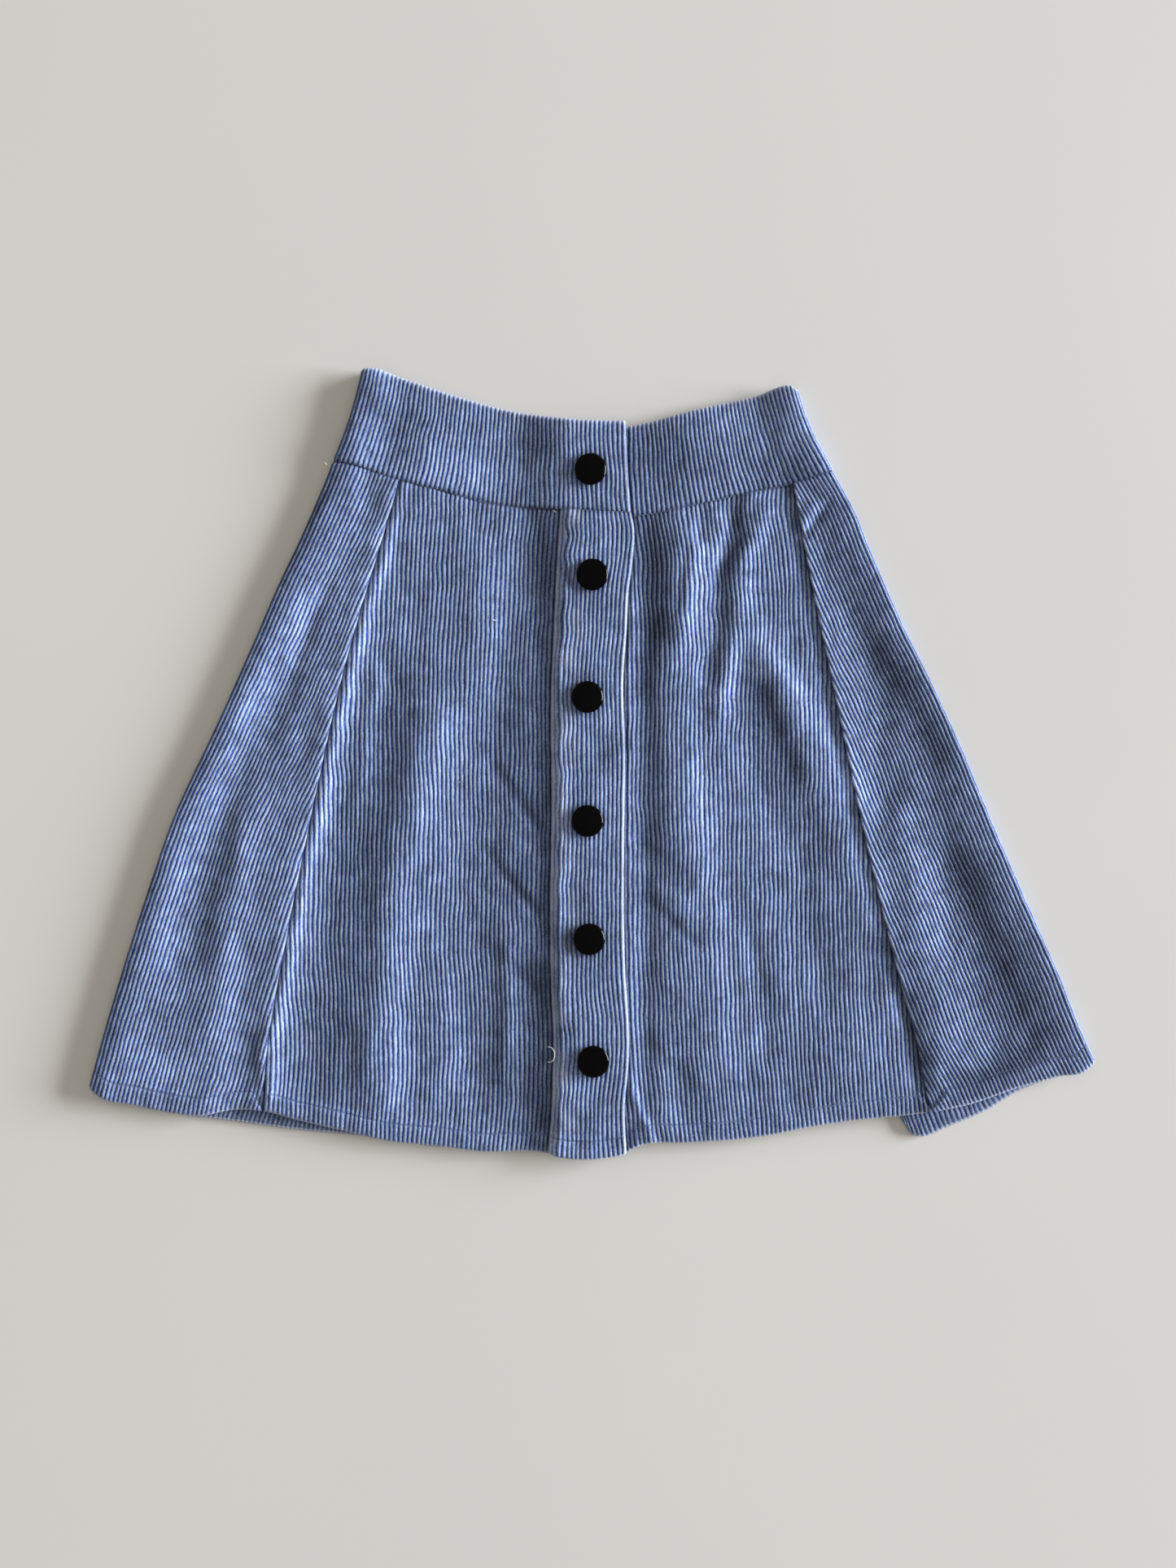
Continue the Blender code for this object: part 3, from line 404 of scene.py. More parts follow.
def cotton_corduroy():
    """Brushed cotton pile: matt, soft-edged ribs with a faint bloom where light grazes the fibres."""
    matt = {"Roughness": 0.95, "Specular IOR Level": 0.15, "Sheen Weight": 0.25}
    bloom = {"Sheen Roughness": 0.5, "Sheen Tint": linear(BLOOM_COLOUR)}
    material, tree, shader, place = new_material("cotton_corduroy", {**matt, **bloom})
    node = partial(add_node, tree)
    uv = node("ShaderNodeUVMap", uv_map="wales")
    across = node("ShaderNodeSeparateXYZ", {0: uv})
    streaked, kinked, combed = [
        node("ShaderNodeVectorMath", {0: uv, 1: stretch}, operation="MULTIPLY")
        for stretch in (STREAKED, KINKED, COMBED)
    ]
    # Each wale wanders a little, and its tufts roughen the step from groove to crest.
    kinks = node("ShaderNodeTexNoise", {"Vector": kinked, "Scale": 1.0, "Detail": 2.0})
    wander = node("ShaderNodeMath", {0: kinks, 1: 0.5, 2: -0.25}, operation="MULTIPLY_ADD")
    count = node("ShaderNodeMath", {0: across, 1: wander})
    half = node("ShaderNodeMath", {0: count, 1: 0.5}, operation="PINGPONG")
    tufts = node(
        "ShaderNodeTexNoise", {"Vector": combed, "Scale": 3.2, "Detail": 5.0, "Roughness": 0.75}
    )
    uneven = node("ShaderNodeMath", {0: tufts, 1: 1.5, 2: -0.75}, operation="MULTIPLY_ADD")
    rib = node("ShaderNodeMath", {0: half, 1: 2.0, 2: uneven}, operation="MULTIPLY_ADD")
    colour = node("ShaderNodeValToRGB", {0: rib})
    stops = colour.node.color_ramp.elements
    stops[0].color, stops[1].color = linear(RIB_COLOURS[0][1]), linear(RIB_COLOURS[-1][1])
    for share, hex_colour in RIB_COLOURS[1:-1]:
        stops.new(share).color = linear(hex_colour)
    # Broad patches and long streaks make the blue lighter or darker, and the sheet's tone paints light
    # and shade on it.
    patches = node("ShaderNodeTexNoise", {"Vector": place, "Scale": 20.0, "Detail": 3.0})
    mottle = node("ShaderNodeTexNoise", {"Vector": place, "Scale": 120.0, "Detail": 4.0})
    streaks = node("ShaderNodeTexNoise", {"Vector": streaked, "Scale": 1.0, "Detail": 3.0})
    tone, worn, lining = [
        node("ShaderNodeAttribute", out="Fac", attribute_name=name) for name in ("tone", "worn", "lining")
    ]
    level = BASE_LEVEL
    for noise, share in ((patches, PATCHY), (mottle, MOTTLED), (streaks, STREAKY)):
        level = node("ShaderNodeMath", {0: noise, 1: share, 2: level}, operation="MULTIPLY_ADD")
    painted_shading = node("ShaderNodeMath", {0: TONE_STEP, 1: tone}, operation="POWER")
    level = node("ShaderNodeMath", {0: level, 1: painted_shading}, operation="MULTIPLY")
    colour = node("ShaderNodeHueSaturation", {"Value": level, "Color": colour})
    # Pale fibre ends sparkle here and there on the crests, and worn places are pale all over.
    specks = node("ShaderNodeTexNoise", {"Vector": place, "Scale": 900.0, "Detail": 2.0})
    pale = node(
        "ShaderNodeMapRange", {"Value": specks, "From Min": 0.54, "From Max": 0.70, "To Max": 0.65}
    )
    for share in (rib, level):
        pale = node("ShaderNodeMath", {0: pale, 1: share}, operation="MULTIPLY")
    rubbed = worn
    for share in (tufts, 1.5):
        rubbed = node("ShaderNodeMath", {0: rubbed, 1: share}, operation="MULTIPLY", use_clamp=True)
    for share, over in ((pale, WORN_COLOUR), (rubbed, WORN_COLOUR), (lining, LINING_COLOUR)):
        colour = node(
            "ShaderNodeMix", {0: share, 6: colour, 7: linear(over)}, out=2, data_type="RGBA"
        )
    tree.links.new(colour, shader.inputs["Base Color"])
    bump = node("ShaderNodeBump", {"Height": tufts, "Strength": 0.7, "Distance": 0.0009})
    tree.links.new(bump, shader.inputs["Normal"])
    return material


CORDUROY = cotton_corduroy()
print("material", CORDUROY.name, "with", len(CORDUROY.node_tree.nodes), "nodes")

# %% [markdown]
# ## Wales from Geometry Nodes
# The main shape of corduroy follows a rule: the same rib again and again across the cloth. So a sheet
# is made smooth first, and every point knows its number of wales from the edge. The tree below reads
# that number, turns it into a rounded rib with a narrow groove, and pushes the point out along the
# cloth's own normal. A little noise makes the ribs uneven, as brushed pile is. The attribute "pile" is
# 1 on the open cloth, less where stitches press it down, and 0 on the inner face.

# %% The tree that raises the wales
WALE_NOISE = 260.0  # bumps to the metre along a rib


def geometry_tree(name, **inputs):
    """A Geometry Nodes tree with these inputs and a material, its input sockets and its output's."""
    tree = bpy.data.node_groups.new(name, "GeometryNodeTree")
    tree.interface.new_socket(name="Mesh", in_out="OUTPUT", socket_type="NodeSocketGeometry")
    for label, kind in {"Mesh": "Geometry", **inputs, "Material": "Material"}.items():
        tree.interface.new_socket(name=label, in_out="INPUT", socket_type="NodeSocket" + kind)
    return tree, tree.nodes.new("NodeGroupInput").outputs, tree.nodes.new("NodeGroupOutput").inputs


def close_tree(tree, geometry, given, result):
    """End a tree: copies become real, take the given material and go out."""
    real = add_node(tree, "GeometryNodeRealizeInstances", {0: geometry})
    links = {"Geometry": real, "Material": given["Material"]}
    tree.links.new(add_node(tree, "GeometryNodeSetMaterial", links), result[0])
    return tree


def run_tree(piece, tree, values):
    """Run the tree on a piece with these inputs and keep the result as the piece's plain mesh."""
    modifier = piece.modifiers.new(tree.name, "NODES")
    modifier.node_group = tree
    for socket in tree.interface.items_tree:
        if socket.in_out == "INPUT" and socket.name in values:
            modifier[socket.identifier] = values[socket.name]
    graph = bpy.context.evaluated_depsgraph_get()
    mesh = bpy.data.meshes.new_from_object(
        piece.evaluated_get(graph), preserve_all_data_layers=True, depsgraph=graph
    )
    piece.modifiers.remove(modifier)
    piece.data = mesh
    return piece


def wale_tree():
    """Push each point of a sheet out by the height of the wale that it lies on."""
    tree, given, result = geometry_tree("raise_wales", Rise="Float", Uneven="Float")
    node = partial(add_node, tree)
    wale, pile = [
        node("GeometryNodeInputNamedAttribute", {"Name": name}, data_type="FLOAT")
        for name in ("wale", "pile")
    ]
    half = node("ShaderNodeMath", {0: wale, 1: 0.5}, operation="PINGPONG")
    turn = node("ShaderNodeMath", {0: half, 1: math.pi}, operation="MULTIPLY")
    rise = node("ShaderNodeMath", {0: turn}, operation="SINE")
    noise = node("ShaderNodeTexNoise", {"Scale": WALE_NOISE, "Detail": 2.0})
    lower = node("ShaderNodeMath", {0: noise, 1: given["Uneven"]}, operation="MULTIPLY")
    share = node("ShaderNodeMath", {0: 1.0, 1: lower}, operation="SUBTRACT")
    for factor in (given["Rise"], pile, share):
        rise = node("ShaderNodeMath", {0: rise, 1: factor}, operation="MULTIPLY")
    normal = node("GeometryNodeInputNormal")
    push = node("ShaderNodeVectorMath", {0: normal, "Scale": rise}, operation="SCALE")
    moved = node("GeometryNodeSetPosition", {"Geometry": given["Mesh"], "Offset": push})
    return close_tree(tree, moved, given, result)


WALES = wale_tree()
print("tree", WALES.name, "with", len(WALES.nodes), "nodes")

# %% [markdown]
# ## From rows and columns to a closed sheet
# Real cloth has a thickness, so each sheet is a closed wall: a fine grid for the face, a plain coarse
# grid behind it, and a rim that joins them. Where the fine and the coarse row meet, triangles fan out
# from each coarse point. Edges sharper than 50 degrees keep a crisp shade.

# %% Sheet builder
SHEETS = bpy.data.collections.new("cloth_sheets")
bpy.context.scene.collection.children.link(SHEETS)
PIECES = {}  # the finished sheet for each CAD node
SHARP = math.radians(50.0)
KINK, KINK_WIDTH, KINK_LENGTH = 0.13, 7.0, 14.0  # brushed ribs wander by this share of a wale
UNEVEN_PILE = 0.5


def grid(x, y, z):
    """Places from three coordinates, each of them a number, a row or a whole grid."""
    return np.stack(np.broadcast_arrays(x, y, z), axis=-1)


def every(cols, step=COARSE):
    """Column numbers of the coarse grid, the last column always among them."""
    return list(range(0, cols - step // 2, step)) + [cols - 1]


def rim(outer, inner, coarse, flip):
    """Triangles between a fine and a coarse row of vertices, coarse column by coarse column."""
    faces = []
    for j in range(len(coarse) - 1):
        turn = (coarse[j] + coarse[j + 1]) // 2
        for c in range(coarse[j], coarse[j + 1]):
            faces.append((outer[c + 1], outer[c], inner[j if c < turn else j + 1]))
        faces.append((outer[turn], inner[j], inner[j + 1]))
    return [face[::-1] for face in faces] if flip else faces


def wall_faces(rows, cols, coarse):
    """Faces of a closed wall whose vertices are the outer grid, then the inner one."""
    count = len(coarse)
    out = np.arange(rows * cols).reshape(rows, cols).tolist()
    back = (np.arange(rows * count) + rows * cols).reshape(rows, count).tolist()
    faces = []
    for r in range(rows - 1):
        low, high, under, over = out[r], out[r + 1], back[r], back[r + 1]
        faces += [(low[c], low[c + 1], high[c + 1], high[c]) for c in range(cols - 1)]
        faces += [(under[j], over[j], over[j + 1], under[j + 1]) for j in range(count - 1)]
        faces.append((low[0], high[0], over[0], under[0]))
        faces.append((low[-1], under[-1], over[-1], high[-1]))
    return faces + rim(out[0], back[0], coarse, False) + rim(out[-1], back[-1], coarse, True)


def sheet_piece(node, outer, inner, coarse, wale, pile, worn, tone):
    """A corduroy sheet from grids in mm, with the facts that its tree and its material read."""
    name = node + "_cloth"
    rows, cols = outer.shape[:2]
    wale = wale + KINK * ripple(outer[..., 0], outer[..., 1], KINK_WIDTH, KINK_LENGTH, 51)
    points = np.concatenate([outer.reshape(-1, 3), inner[:, coarse].reshape(-1, 3)])
    mesh = bpy.data.meshes.new(name)
    mesh.from_pydata((points * MM).tolist(), [], wall_faces(rows, cols, coarse))
    face, back = np.ones((rows, cols)), np.ones((rows, len(coarse)))
    facts = {
        "wale": (wale, wale[:, coarse]),
        "pile": (pile * face, 0.0 * back),
        "worn": (worn * face, 0.0 * back),
        "tone": (tone * face, 0.0 * back),
        "lining": (0.0 * face, back),
    }
    values = {key: np.concatenate([a.ravel(), b.ravel()]) for key, (a, b) in facts.items()}
    for key, value in values.items():
        mesh.attributes.new(key, "FLOAT", "POINT").data.foreach_set("value", value)
    corner = np.zeros(len(mesh.loops), np.int32)
    mesh.loops.foreach_get("vertex_index", corner)
    uv = np.stack([values["wale"], points[:, 1] / WALE], axis=1)[corner]
    mesh.uv_layers.new(name="wales").data.foreach_set("uv", uv.astype(np.float32).ravel())
    mesh.shade_smooth()
    piece = PIECES[node] = new_object(name, mesh, SHEETS)
    run_tree(piece, WALES, {"Rise": PILE * MM, "Uneven": UNEVEN_PILE, "Material": CORDUROY})
    piece.data.set_sharp_from_angle(angle=SHARP)
    area = sum(part.area for part in piece.data.polygons) / 2.0
    print(name, "has", len(piece.data.polygons), "faces and", round(area, 4), "m2 of cloth")


print("sheets will lie in the collection", SHEETS.name)

# %% [markdown]
# ## Painted light and shade
# The window lights slopes that fall to the right and leaves slopes that rise in shade, and that light
# and shade is also painted into the colour: from the slope of the front and from a few broad strokes
# along its folds. They become the attribute "tone", a number that the material adds to its level of blue.

# %% Painted light and shade
SHADES = [  # a stroke as in FOLDS, then its half width and how much lighter it is
    (-143, 165, -184, -10, -221, -206, 9.0, 0.48),
    (-136, 60, -170, -80, -188, -216, 15.0, -0.38),
    (-101, 40, -99, -20, -102, -80, 12.0, 0.22),
    (-122, -110, -140, -165, -134, -235, 10.0, 0.28),
    (-36, 172, -35, 150, -36, 125, 8.0, -1.00),
    (-35, 105, -34, 0, -34, -120, 6.0, -0.60),
    (-38, -145, -37, -190, -37, -262, 10.0, -1.10),
    (-56, 40, -52, -40, -50, -120, 14.0, -0.35),
    (-72, -140, -68, -190, -64, -240, 16.0, -0.25),
    (-200, 110, -225, 70, -246, 34, 9.0, 0.45),
    (-275, -20, -290, -60, -300, -110, 8.0, 0.25),
    (-262, -70, -269, -101, -270, -130, 9.0, -0.15),
    (-235, -110, -254, -154, -262, -190, 10.0, 0.15),
    (-335, -215, -314, -206, -290, -215, 14.0, 0.25),
    (-182, 198, -197, 174, -216, 128, 5.0, -0.60),
    (42, 168, 46, 130, 47, 95, 11.0, -1.10),
    (47, 92, 42, 70, 36, 48, 8.0, -0.80),
    (78, 150, 70, 110, 62, 70, 5.0, 0.65),
    (90, 172, 86, 158, 82, 146, 4.0, 0.40),
    (104, 184, 100, 165, 92, 135, 5.0, -0.90),
    (110, 125, 102, 90, 94, 50, 5.0, 0.55),
    (116, 90, 150, 45, 183, -20, 7.0, 0.65),
    (122, 50, 133, 20, 143, -8, 7.0, -1.00),
    (70, 0, 86, -60, 92, -115, 6.0, 0.45),
    (92, -135, 94, -160, 93, -200, 6.0, 0.35),
    (130, -50, 138, -65, 146, -85, 8.0, 0.40),
    (172, 45, 192, -30, 213, -110, 6.0, 0.35),
    (200, 82, 224, 48, 246, 5, 9.0, -0.85),
    (258, -70, 280, -118, 303, -172, 11.0, -1.05),
    (318, -190, 300, -207, 270, -225, 10.0, -0.70),
    (236, -70, 243, -95, 246, -120, 8.0, 0.30),
    (27, 30, 27, -100, 27, -240, 3.5, -0.45),
    (221, -190, 227, -222, 230, -248, 7.0, -0.45),
    (-66, 2, -52, -20, -37, -40, 4.0, -0.55),
    (-72, -60, -55, -82, -39, -100, 4.5, -0.60),
    (-75, -122, -55, -138, -38, -156, 4.5, -0.50),
    (-70, -30, -54, -50, -38, -68, 4.5, 0.35),
    (-74, -92, -56, -110, -40, -128, 4.5, 0.35),
    (38, -55, 55, -68, 70, -80, 4.5, -0.45),
    (36, -92, 54, -108, 74, -125, 4.5, -0.50),
    (38, -190, 54, -206, 72, -222, 4.5, -0.50),
    (36, -72, 54, -88, 72, -102, 4.5, 0.35),
]
SNAP_SHADE, SNAP_SHADE_WIDTH = -0.5, 2.6


def by_snaps(x, y):
    """Painted shadow in the hollow round each cap, where the cloth is pulled down."""
    out = [np.maximum(np.hypot(x - at, y - up) - SNAP_RADIUS, 0.0) for at, up in SNAPS]
    return SNAP_SHADE * near(np.minimum.reduce(out), SNAP_SHADE_WIDTH)


def painted_fold_light(x, y):
    """Painted light and shade at a place on the front, from its slope towards the window and the strokes.
    """
    ahead, behind = [front_inside(x + s, y) + cockle(x + s, y) for s in (1.5, -1.5)]
    slope = (ahead - behind) / 3.0
    return np.clip(-3.0 * slope, -0.5, 0.5) + sum(crease(x, y, shade) for shade in SHADES)


print("strokes of nap:", len(SHADES))

# %% [markdown]
# ## Columns and rows of a panel
# Every wale is a line of the mesh from the hem up to the seam that cuts it, so the cloth's grain stays
# true where a slanted seam crosses it. column_ends() searches for both ends of each column. The rows
# are close together at the hem and at the seam, where the cloth is folded and stitched.

# %% Panel grid
HEM_ROWS = (0.0, 0.45, 1.5, 4.0, 7.5, 10.5, 11.6, 12.5, 13.4, 14.4, 15.5)
STITCH_ROW = HEM_ROWS.index(HEM_STITCH)
SEAM_ROWS = (8.0, 5.0, 3.0, 1.8, 0.9, 0.0)
MIDDLE_ROWS = 128
STITCH_DIP, SEAM_DIP = 0.5, 0.5
HEM_SHADE = 0.25  # painted shade in the hem's sunken stitch line


def column_ends(x_at, top_of, cut_of):
    """Where each column meets the hem and the seam above it, as two arrays of y."""
    low = np.full(len(x_at(0.0)), HEM_GUESS)
    for _ in range(HEM_STEPS):
        low = along(HEM_FRONT, x_at(low))
    bottom, high = low.copy(), np.full(len(low), ABOVE_SEAM)
    for _ in range(HALVINGS):
        middle = (low + high) / 2.0
        x = x_at(middle)
        inside = (middle < top_of(x)) & cut_of(x, middle)
        low, high = np.where(inside, middle, low), np.where(inside, high, middle)
    return bottom, low


def row_heights(bottom, top):
    """Rows of y for every column, and how far up from the hem each one is at full size."""
    length = top - bottom
    scale = np.minimum(1.0, length / FULL_HEM_LENGTH)
    rows = [height * scale for height in HEM_ROWS]
    start, stop = HEM_ROWS[-1] * scale, length - SEAM_ROWS[0] * scale
    rows += [start + (stop - start) * k / MIDDLE_ROWS for k in range(1, MIDDLE_ROWS + 1)]
    rows += [length - down * scale for down in SEAM_ROWS[1:]]
    return bottom + np.array(rows), np.array(rows) / scale


def hem_forms(x, up, single=0.0):
    """Thickness, height of pile and wear that the hem gives the cloth, up from its edge."""
    pressed = near(up - HEM_STITCH, 0.8)
    doubled = (1.0 - smooth(up, HEM_STITCH, HEM_END)) * (1.0 - single)
    puffed = 0.22 * ripple(x, 0.0, 8.0, 1.0, 7) * smooth(up, 0.0, 4.0)
    thick = PANEL_WALL + (HEM_FOLD + puffed) * doubled - STITCH_DIP * pressed * (1.0 - single)
    thick = thick * (EDGE_SHARE + (1.0 - EDGE_SHARE) * smooth(up, 0.0, HEM_ROUND))
    pile = (0.55 + 0.45 * smooth(up, 0.0, HEM_ROUND)) * (1.0 - 0.7 * pressed)
    return thick, pile, 0.75 * near(up, 0.9)


def open_share(below, beside, up):
    """How free the wales are to wander: 0 at a seam or the hem and 1 on the open cloth."""
    return smooth(below, 0.5, 7.0) * smooth(beside, 0.5, 8.0) * smooth(up, 0.0, 16.0)


print("rows in a panel:", len(HEM_ROWS) + MIDDLE_ROWS + len(SEAM_ROWS) - 1)

# %% [markdown]
# ## Centre fronts
# The wearer's right front runs from the placket's seam to the curved princess seam, and the left front
# from the hidden button stand under the placket to the other one. Their wales are straight on the
# grain. Near a seam the cloth dips, because the layers are pulled together there, and small pulls
# cross the dip where the curved edge was eased in.

# %% Centre front panels
STITCH_LINES = []  # filled by each front piece with its row of hem stitches
SEAM_PUFF = {-1.0: 0.6, 1.0: -0.5}  # the left seam's centre side lies in a hollow
PUFF_AT, PUFF_WIDTH = 6.0, 4.0  # from the princess seam
STAND_PILE = 0.6  # the pile is pressed flat under the placket


def centre_front(node, x_at, wale, pile_share, sign):
    """A centre front panel, its columns cut by the waist seam and the princess seam."""
    waist, princess = (
        (WAIST_SEAM_RIGHT, PRINCESS_RIGHT) if sign < 0 else (WAIST_SEAM_LEFT, PRINCESS_LEFT)
    )
    bottom, top = column_ends(
        x_at,
        lambda x: along(waist, x) - SEAM_GAP,
        lambda x, y: sign * (along(princess, y) - x) > PRINCESS_INSET,
    )
    y, up = row_heights(bottom, top)
    x = np.array([x_at(row) for row in y])
    edge = along(PLACKET_EDGE, y)
    below, beside = along(waist, x) - y, np.abs(along(princess, y) - x)
    by_placket = np.abs(x - along(PLACKET_INNER, y)) if sign < 0 else x - edge
    x = x + drift(x, y) * open_share(below, beside, up) * smooth(by_placket, 0.5, 8.0)
    under = 1.0 - smooth(x, edge, edge + STAND_INSET)
    thick, pile, worn = hem_forms(x, up, under if sign > 0 else 0.0)
    pulls = 0.3 * ripple(0.0, y, 1.0, 9.0, 11) * near(beside, 9.0)
    pulls = pulls + 0.25 * ripple(x, 0.0, 7.0, 1.0, 12) * near(below, 8.0)
    by_seam = near(beside - PUFF_AT, PUFF_WIDTH)
    puff = SEAM_PUFF[sign] * by_seam * (1.0 + 0.5 * ripple(0.0, y, 1.0, 14.0, 13))
    uneven = (cockle(x, y) + pulls) * smooth(by_placket, 0.0, 6.0) * smooth(up, -4.0, 20.0)
    inside = front_inside(x, y) + uneven + puff * smooth(up, 0.0, 20.0)
    dip = np.maximum(near(below, 1.5), near(beside, 1.8))
    # Painted shade in the dips at the waist and princess seams and in the hem's stitch line, painted
    # light on the puff beside the right princess seam and painted shade in the hollow beside the left
    # one.
    tone = painted_fold_light(x, y) - 0.9 * near(below, 1.3) - 0.8 * near(beside, 1.3)
    tone = tone + 0.35 * np.sign(puff) * by_seam - HEM_SHADE * near(up - HEM_STITCH, 1.0)
    if sign < 0:
        dip = np.maximum(dip, near(by_placket, 1.5))
        # Painted shade in the dip along the placket's seam.
        tone = tone - 0.9 * near(by_placket, 1.6)
        visible = slice(None)
    else:
        high = smooth(y, -60.0, 60.0)  # the placket stands off most in its upper half
        # Painted shadow that the placket's free edge casts beside it, wider and darker in its upper half,
        # and painted shade beside the princess seam, more of it low down.
        tone = tone - (0.9 + 1.0 * high) * near(by_placket - 0.8, 1.5 + 0.8 * high)
        tone = tone - 0.35 * near(beside, 4.0)
        tone = tone - 0.6 * near(beside, 10.0) * smooth(-y, 110.0, 180.0)
        visible = x[STITCH_ROW] > edge[STITCH_ROW]
    outer, inner = grid(x, y, inside + thick - SEAM_DIP * dip), grid(x, y, inside)
    pile = pile * pile_share * (1.0 - 0.35 * near(below, 1.2) - 0.3 * near(beside, 1.2))
    sheet_piece(node, outer, inner, every(len(wale)), wale, pile, worn, tone)
    STITCH_LINES.append(outer[STITCH_ROW][visible])


right_count = np.arange(CENTRE_WALES_RIGHT * PER_WALE + 1) / PER_WALE
from_placket = (CENTRE_WALES_RIGHT - right_count) * WALE + SEAM_GAP / 2.0
centre_front(
    "front_centre_right", lambda y: along(PLACKET_INNER, y) - from_placket, right_count, 1.0, -1.0
)
stand_steps = np.linspace(0.0, 1.0, PER_WALE, endpoint=False)
left_count = np.arange(CENTRE_WALES_LEFT * PER_WALE + 1) / PER_WALE
left_offset = STAND_TO_WALES + np.append(0.0 * stand_steps, left_count) * WALE
out_of_stand = np.append(stand_steps, np.ones(len(left_count)))


def left_front_x(y):
    """X of the left front's columns: the plain stand, then wales along their own grain."""
    stand = along(PLACKET_INNER, y) + STAND_INSET
    return stand + (along(GRAIN_LEFT, y) + left_offset - stand) * out_of_stand


centre_front(
    "front_centre_left",
    left_front_x,
    np.append(stand_steps - 1.0, left_count),
    np.append(np.full(PER_WALE, STAND_PILE), np.ones(len(left_count))),
    1.0,
)

# %% [markdown]
# ## Side fronts
# Each side front wraps round from the side, where the skirt folds over to its back, to the princess
# seam. Its wales run along the side. The fold is a soft roll, so the columns nearest the side are set
# round a quarter circle first and then lie down on the front. Along the seam the allowances underneath
# lift the edge into a lip, paler on top because it rubs and because a highlight is painted on it.

# %% Side front panels
ROLL_SHADE = {-1.0: -0.80, 1.0: 0.15}  # the window lights one side and not the other
# Painted light on the right side front and painted shade on the left one, for how the window falls across
# their slanting wales.
SIDE_TONE = {-1.0: 0.08, 1.0: -0.12}
ROLL_COLUMNS = [0, 3, 6, 9]  # of the inner face, close together in the roll


def side_front(node, side, princess, waist, wales, sign):
    """A side front panel, from the roll at the side to the princess seam."""
    wale = np.arange(wales * PER_WALE + 1) / PER_WALE
    angle = np.minimum(wale * WALE / SIDE_RADIUS, math.pi / 2.0)
    flat = np.maximum(wale * WALE - SIDE_RADIUS * math.pi / 2.0, 0.0)
    bottom, top = column_ends(
        lambda y: along(side, y) - sign * (SIDE_RADIUS * (1.0 - np.cos(angle)) + flat),
        lambda x: along(waist, x) - SEAM_GAP,
        lambda x, y: sign * (x - along(princess, y)) > PRINCESS_INSET,
    )
    y, up = row_heights(bottom, top)
    edge = along(side, y)
    x_flat = edge - sign * (SIDE_RADIUS + flat)
    below, beside = along(waist, x_flat) - y, np.abs(x_flat - along(princess, y))
    settled = smooth(flat, 0.0, EASE_IN)
    shift = drift(x_flat, y) * open_share(below, beside, up) * settled
    thick, pile, worn = hem_forms(x_flat, up, 1.0 - smooth(flat, 0.0, HEM_TO_ROLL))
    inner_radius = SIDE_RADIUS - PANEL_WALL - PILE
    centre_z = SIDE_RADIUS + SEAM_GAP
    above_hem = 1.0 - smooth(-y, *SEAM_RIDGE_END)
    ridge = SEAM_RIDGE * near(beside, SEAM_RIDGE_WIDTH) * above_hem
    ridge = ridge * (1.0 + 0.45 * ripple(0.0, y, 1.0, 13.0, 21))
    pulls = 0.3 * ripple(x_flat, y, 9.0, 12.0, 22) * near(beside, 11.0)
    pulls = pulls + 0.25 * ripple(x_flat, 0.0, 7.0, 1.0, 23) * near(below, 8.0)
    rest = front_inside(x_flat, y) + ridge + cockle(x_flat, y) + pulls
    lift = (1.0 - settled) * (centre_z + inner_radius) + settled * rest
    thick = thick - SEAM_DIP * np.maximum(near(below, 1.5), 0.7 * near(beside, 0.7))

    def surface(wall):
        """The places this far out from the inner face."""
        radius = inner_radius + wall
        x = edge - sign * (SIDE_RADIUS - radius * np.cos(angle) + flat) + shift
        return grid(x, y, np.where(flat > 0.0, lift + wall, centre_z + radius * np.sin(angle)))

    worn = worn + 0.15 * near(beside - 1.0, 1.0) * above_hem
    # Painted light and shade: the front's slopes and strokes, the side's own level, shade in the seams'
    # dips and the hem's stitch line, a highlight along the lip and, near the roll, shade on the right
    # side and light on the left.
    tone = painted_fold_light(x_flat, y) + SIDE_TONE[sign] - 0.7 * near(below, 1.3) - 0.5 * near(beside, 0.5)
    tone = tone + 0.2 * near(beside - 4.0, 3.5) - HEM_SHADE * near(up - HEM_STITCH, 1.0)
    tone = tone + ROLL_SHADE[sign] * near(flat, 9.0)
    pile = pile * (1.0 - 0.35 * near(below, 1.2))
    # Columns are kept from right to left, so on the left side they run towards the roll.
    order = slice(None, None, -1 if sign > 0 else 1)
    grids = [made[:, order] for made in (surface(thick), surface(0.0), pile, worn, tone)]
    outer, inner, pile, worn, tone = grids
    roll_end = ROLL_COLUMNS[-1]
    coarse = ROLL_COLUMNS + [roll_end + c for c in every(len(wale) - roll_end)[1:]]
    if sign > 0:
        coarse = [len(wale) - 1 - c for c in coarse[::-1]]
    sheet_piece(node, outer, inner, coarse, wale[order], pile, worn, tone)
    STITCH_LINES.append(outer[STITCH_ROW])


side_front(
    "front_side_right", SIDE_RIGHT, PRINCESS_RIGHT, WAIST_SEAM_RIGHT, SIDE_WALES_RIGHT, -1.0
)
side_front("front_side_left", SIDE_LEFT, PRINCESS_LEFT, WAIST_SEAM_LEFT, SIDE_WALES_LEFT, 1.0)

# %% [markdown]
# ## Placket
# The placket is a doubled strip that laps over the left front and carries the snaps. Its free edge is a
# fold, so it has a smooth round rim with the pile rubbed pale. Along its sewn edge the allowances are
# bunched underneath, so its wales wave there and the cloth is puffed.

# %% Placket strip
FOLD_SHADE = 0.10  # painted shade tones down the fold, which faces the window
PLACKET_PER_WALE = 8
SEWN_MIDDLE, SEWN_WIDTH = 9.0, 9.0  # the stretch beside the seam whose wales wave
MOST_WORN = 1.2


def placket_inside(x, y):
    """Height of the placket's inner face: down at its seam, over the button stand beyond."""
    inset = x - along(PLACKET_INNER, y)
    return front_inside(x, y) + PLACKET_LIFT * smooth(inset, 1.0, STAND_INSET - 1.0)


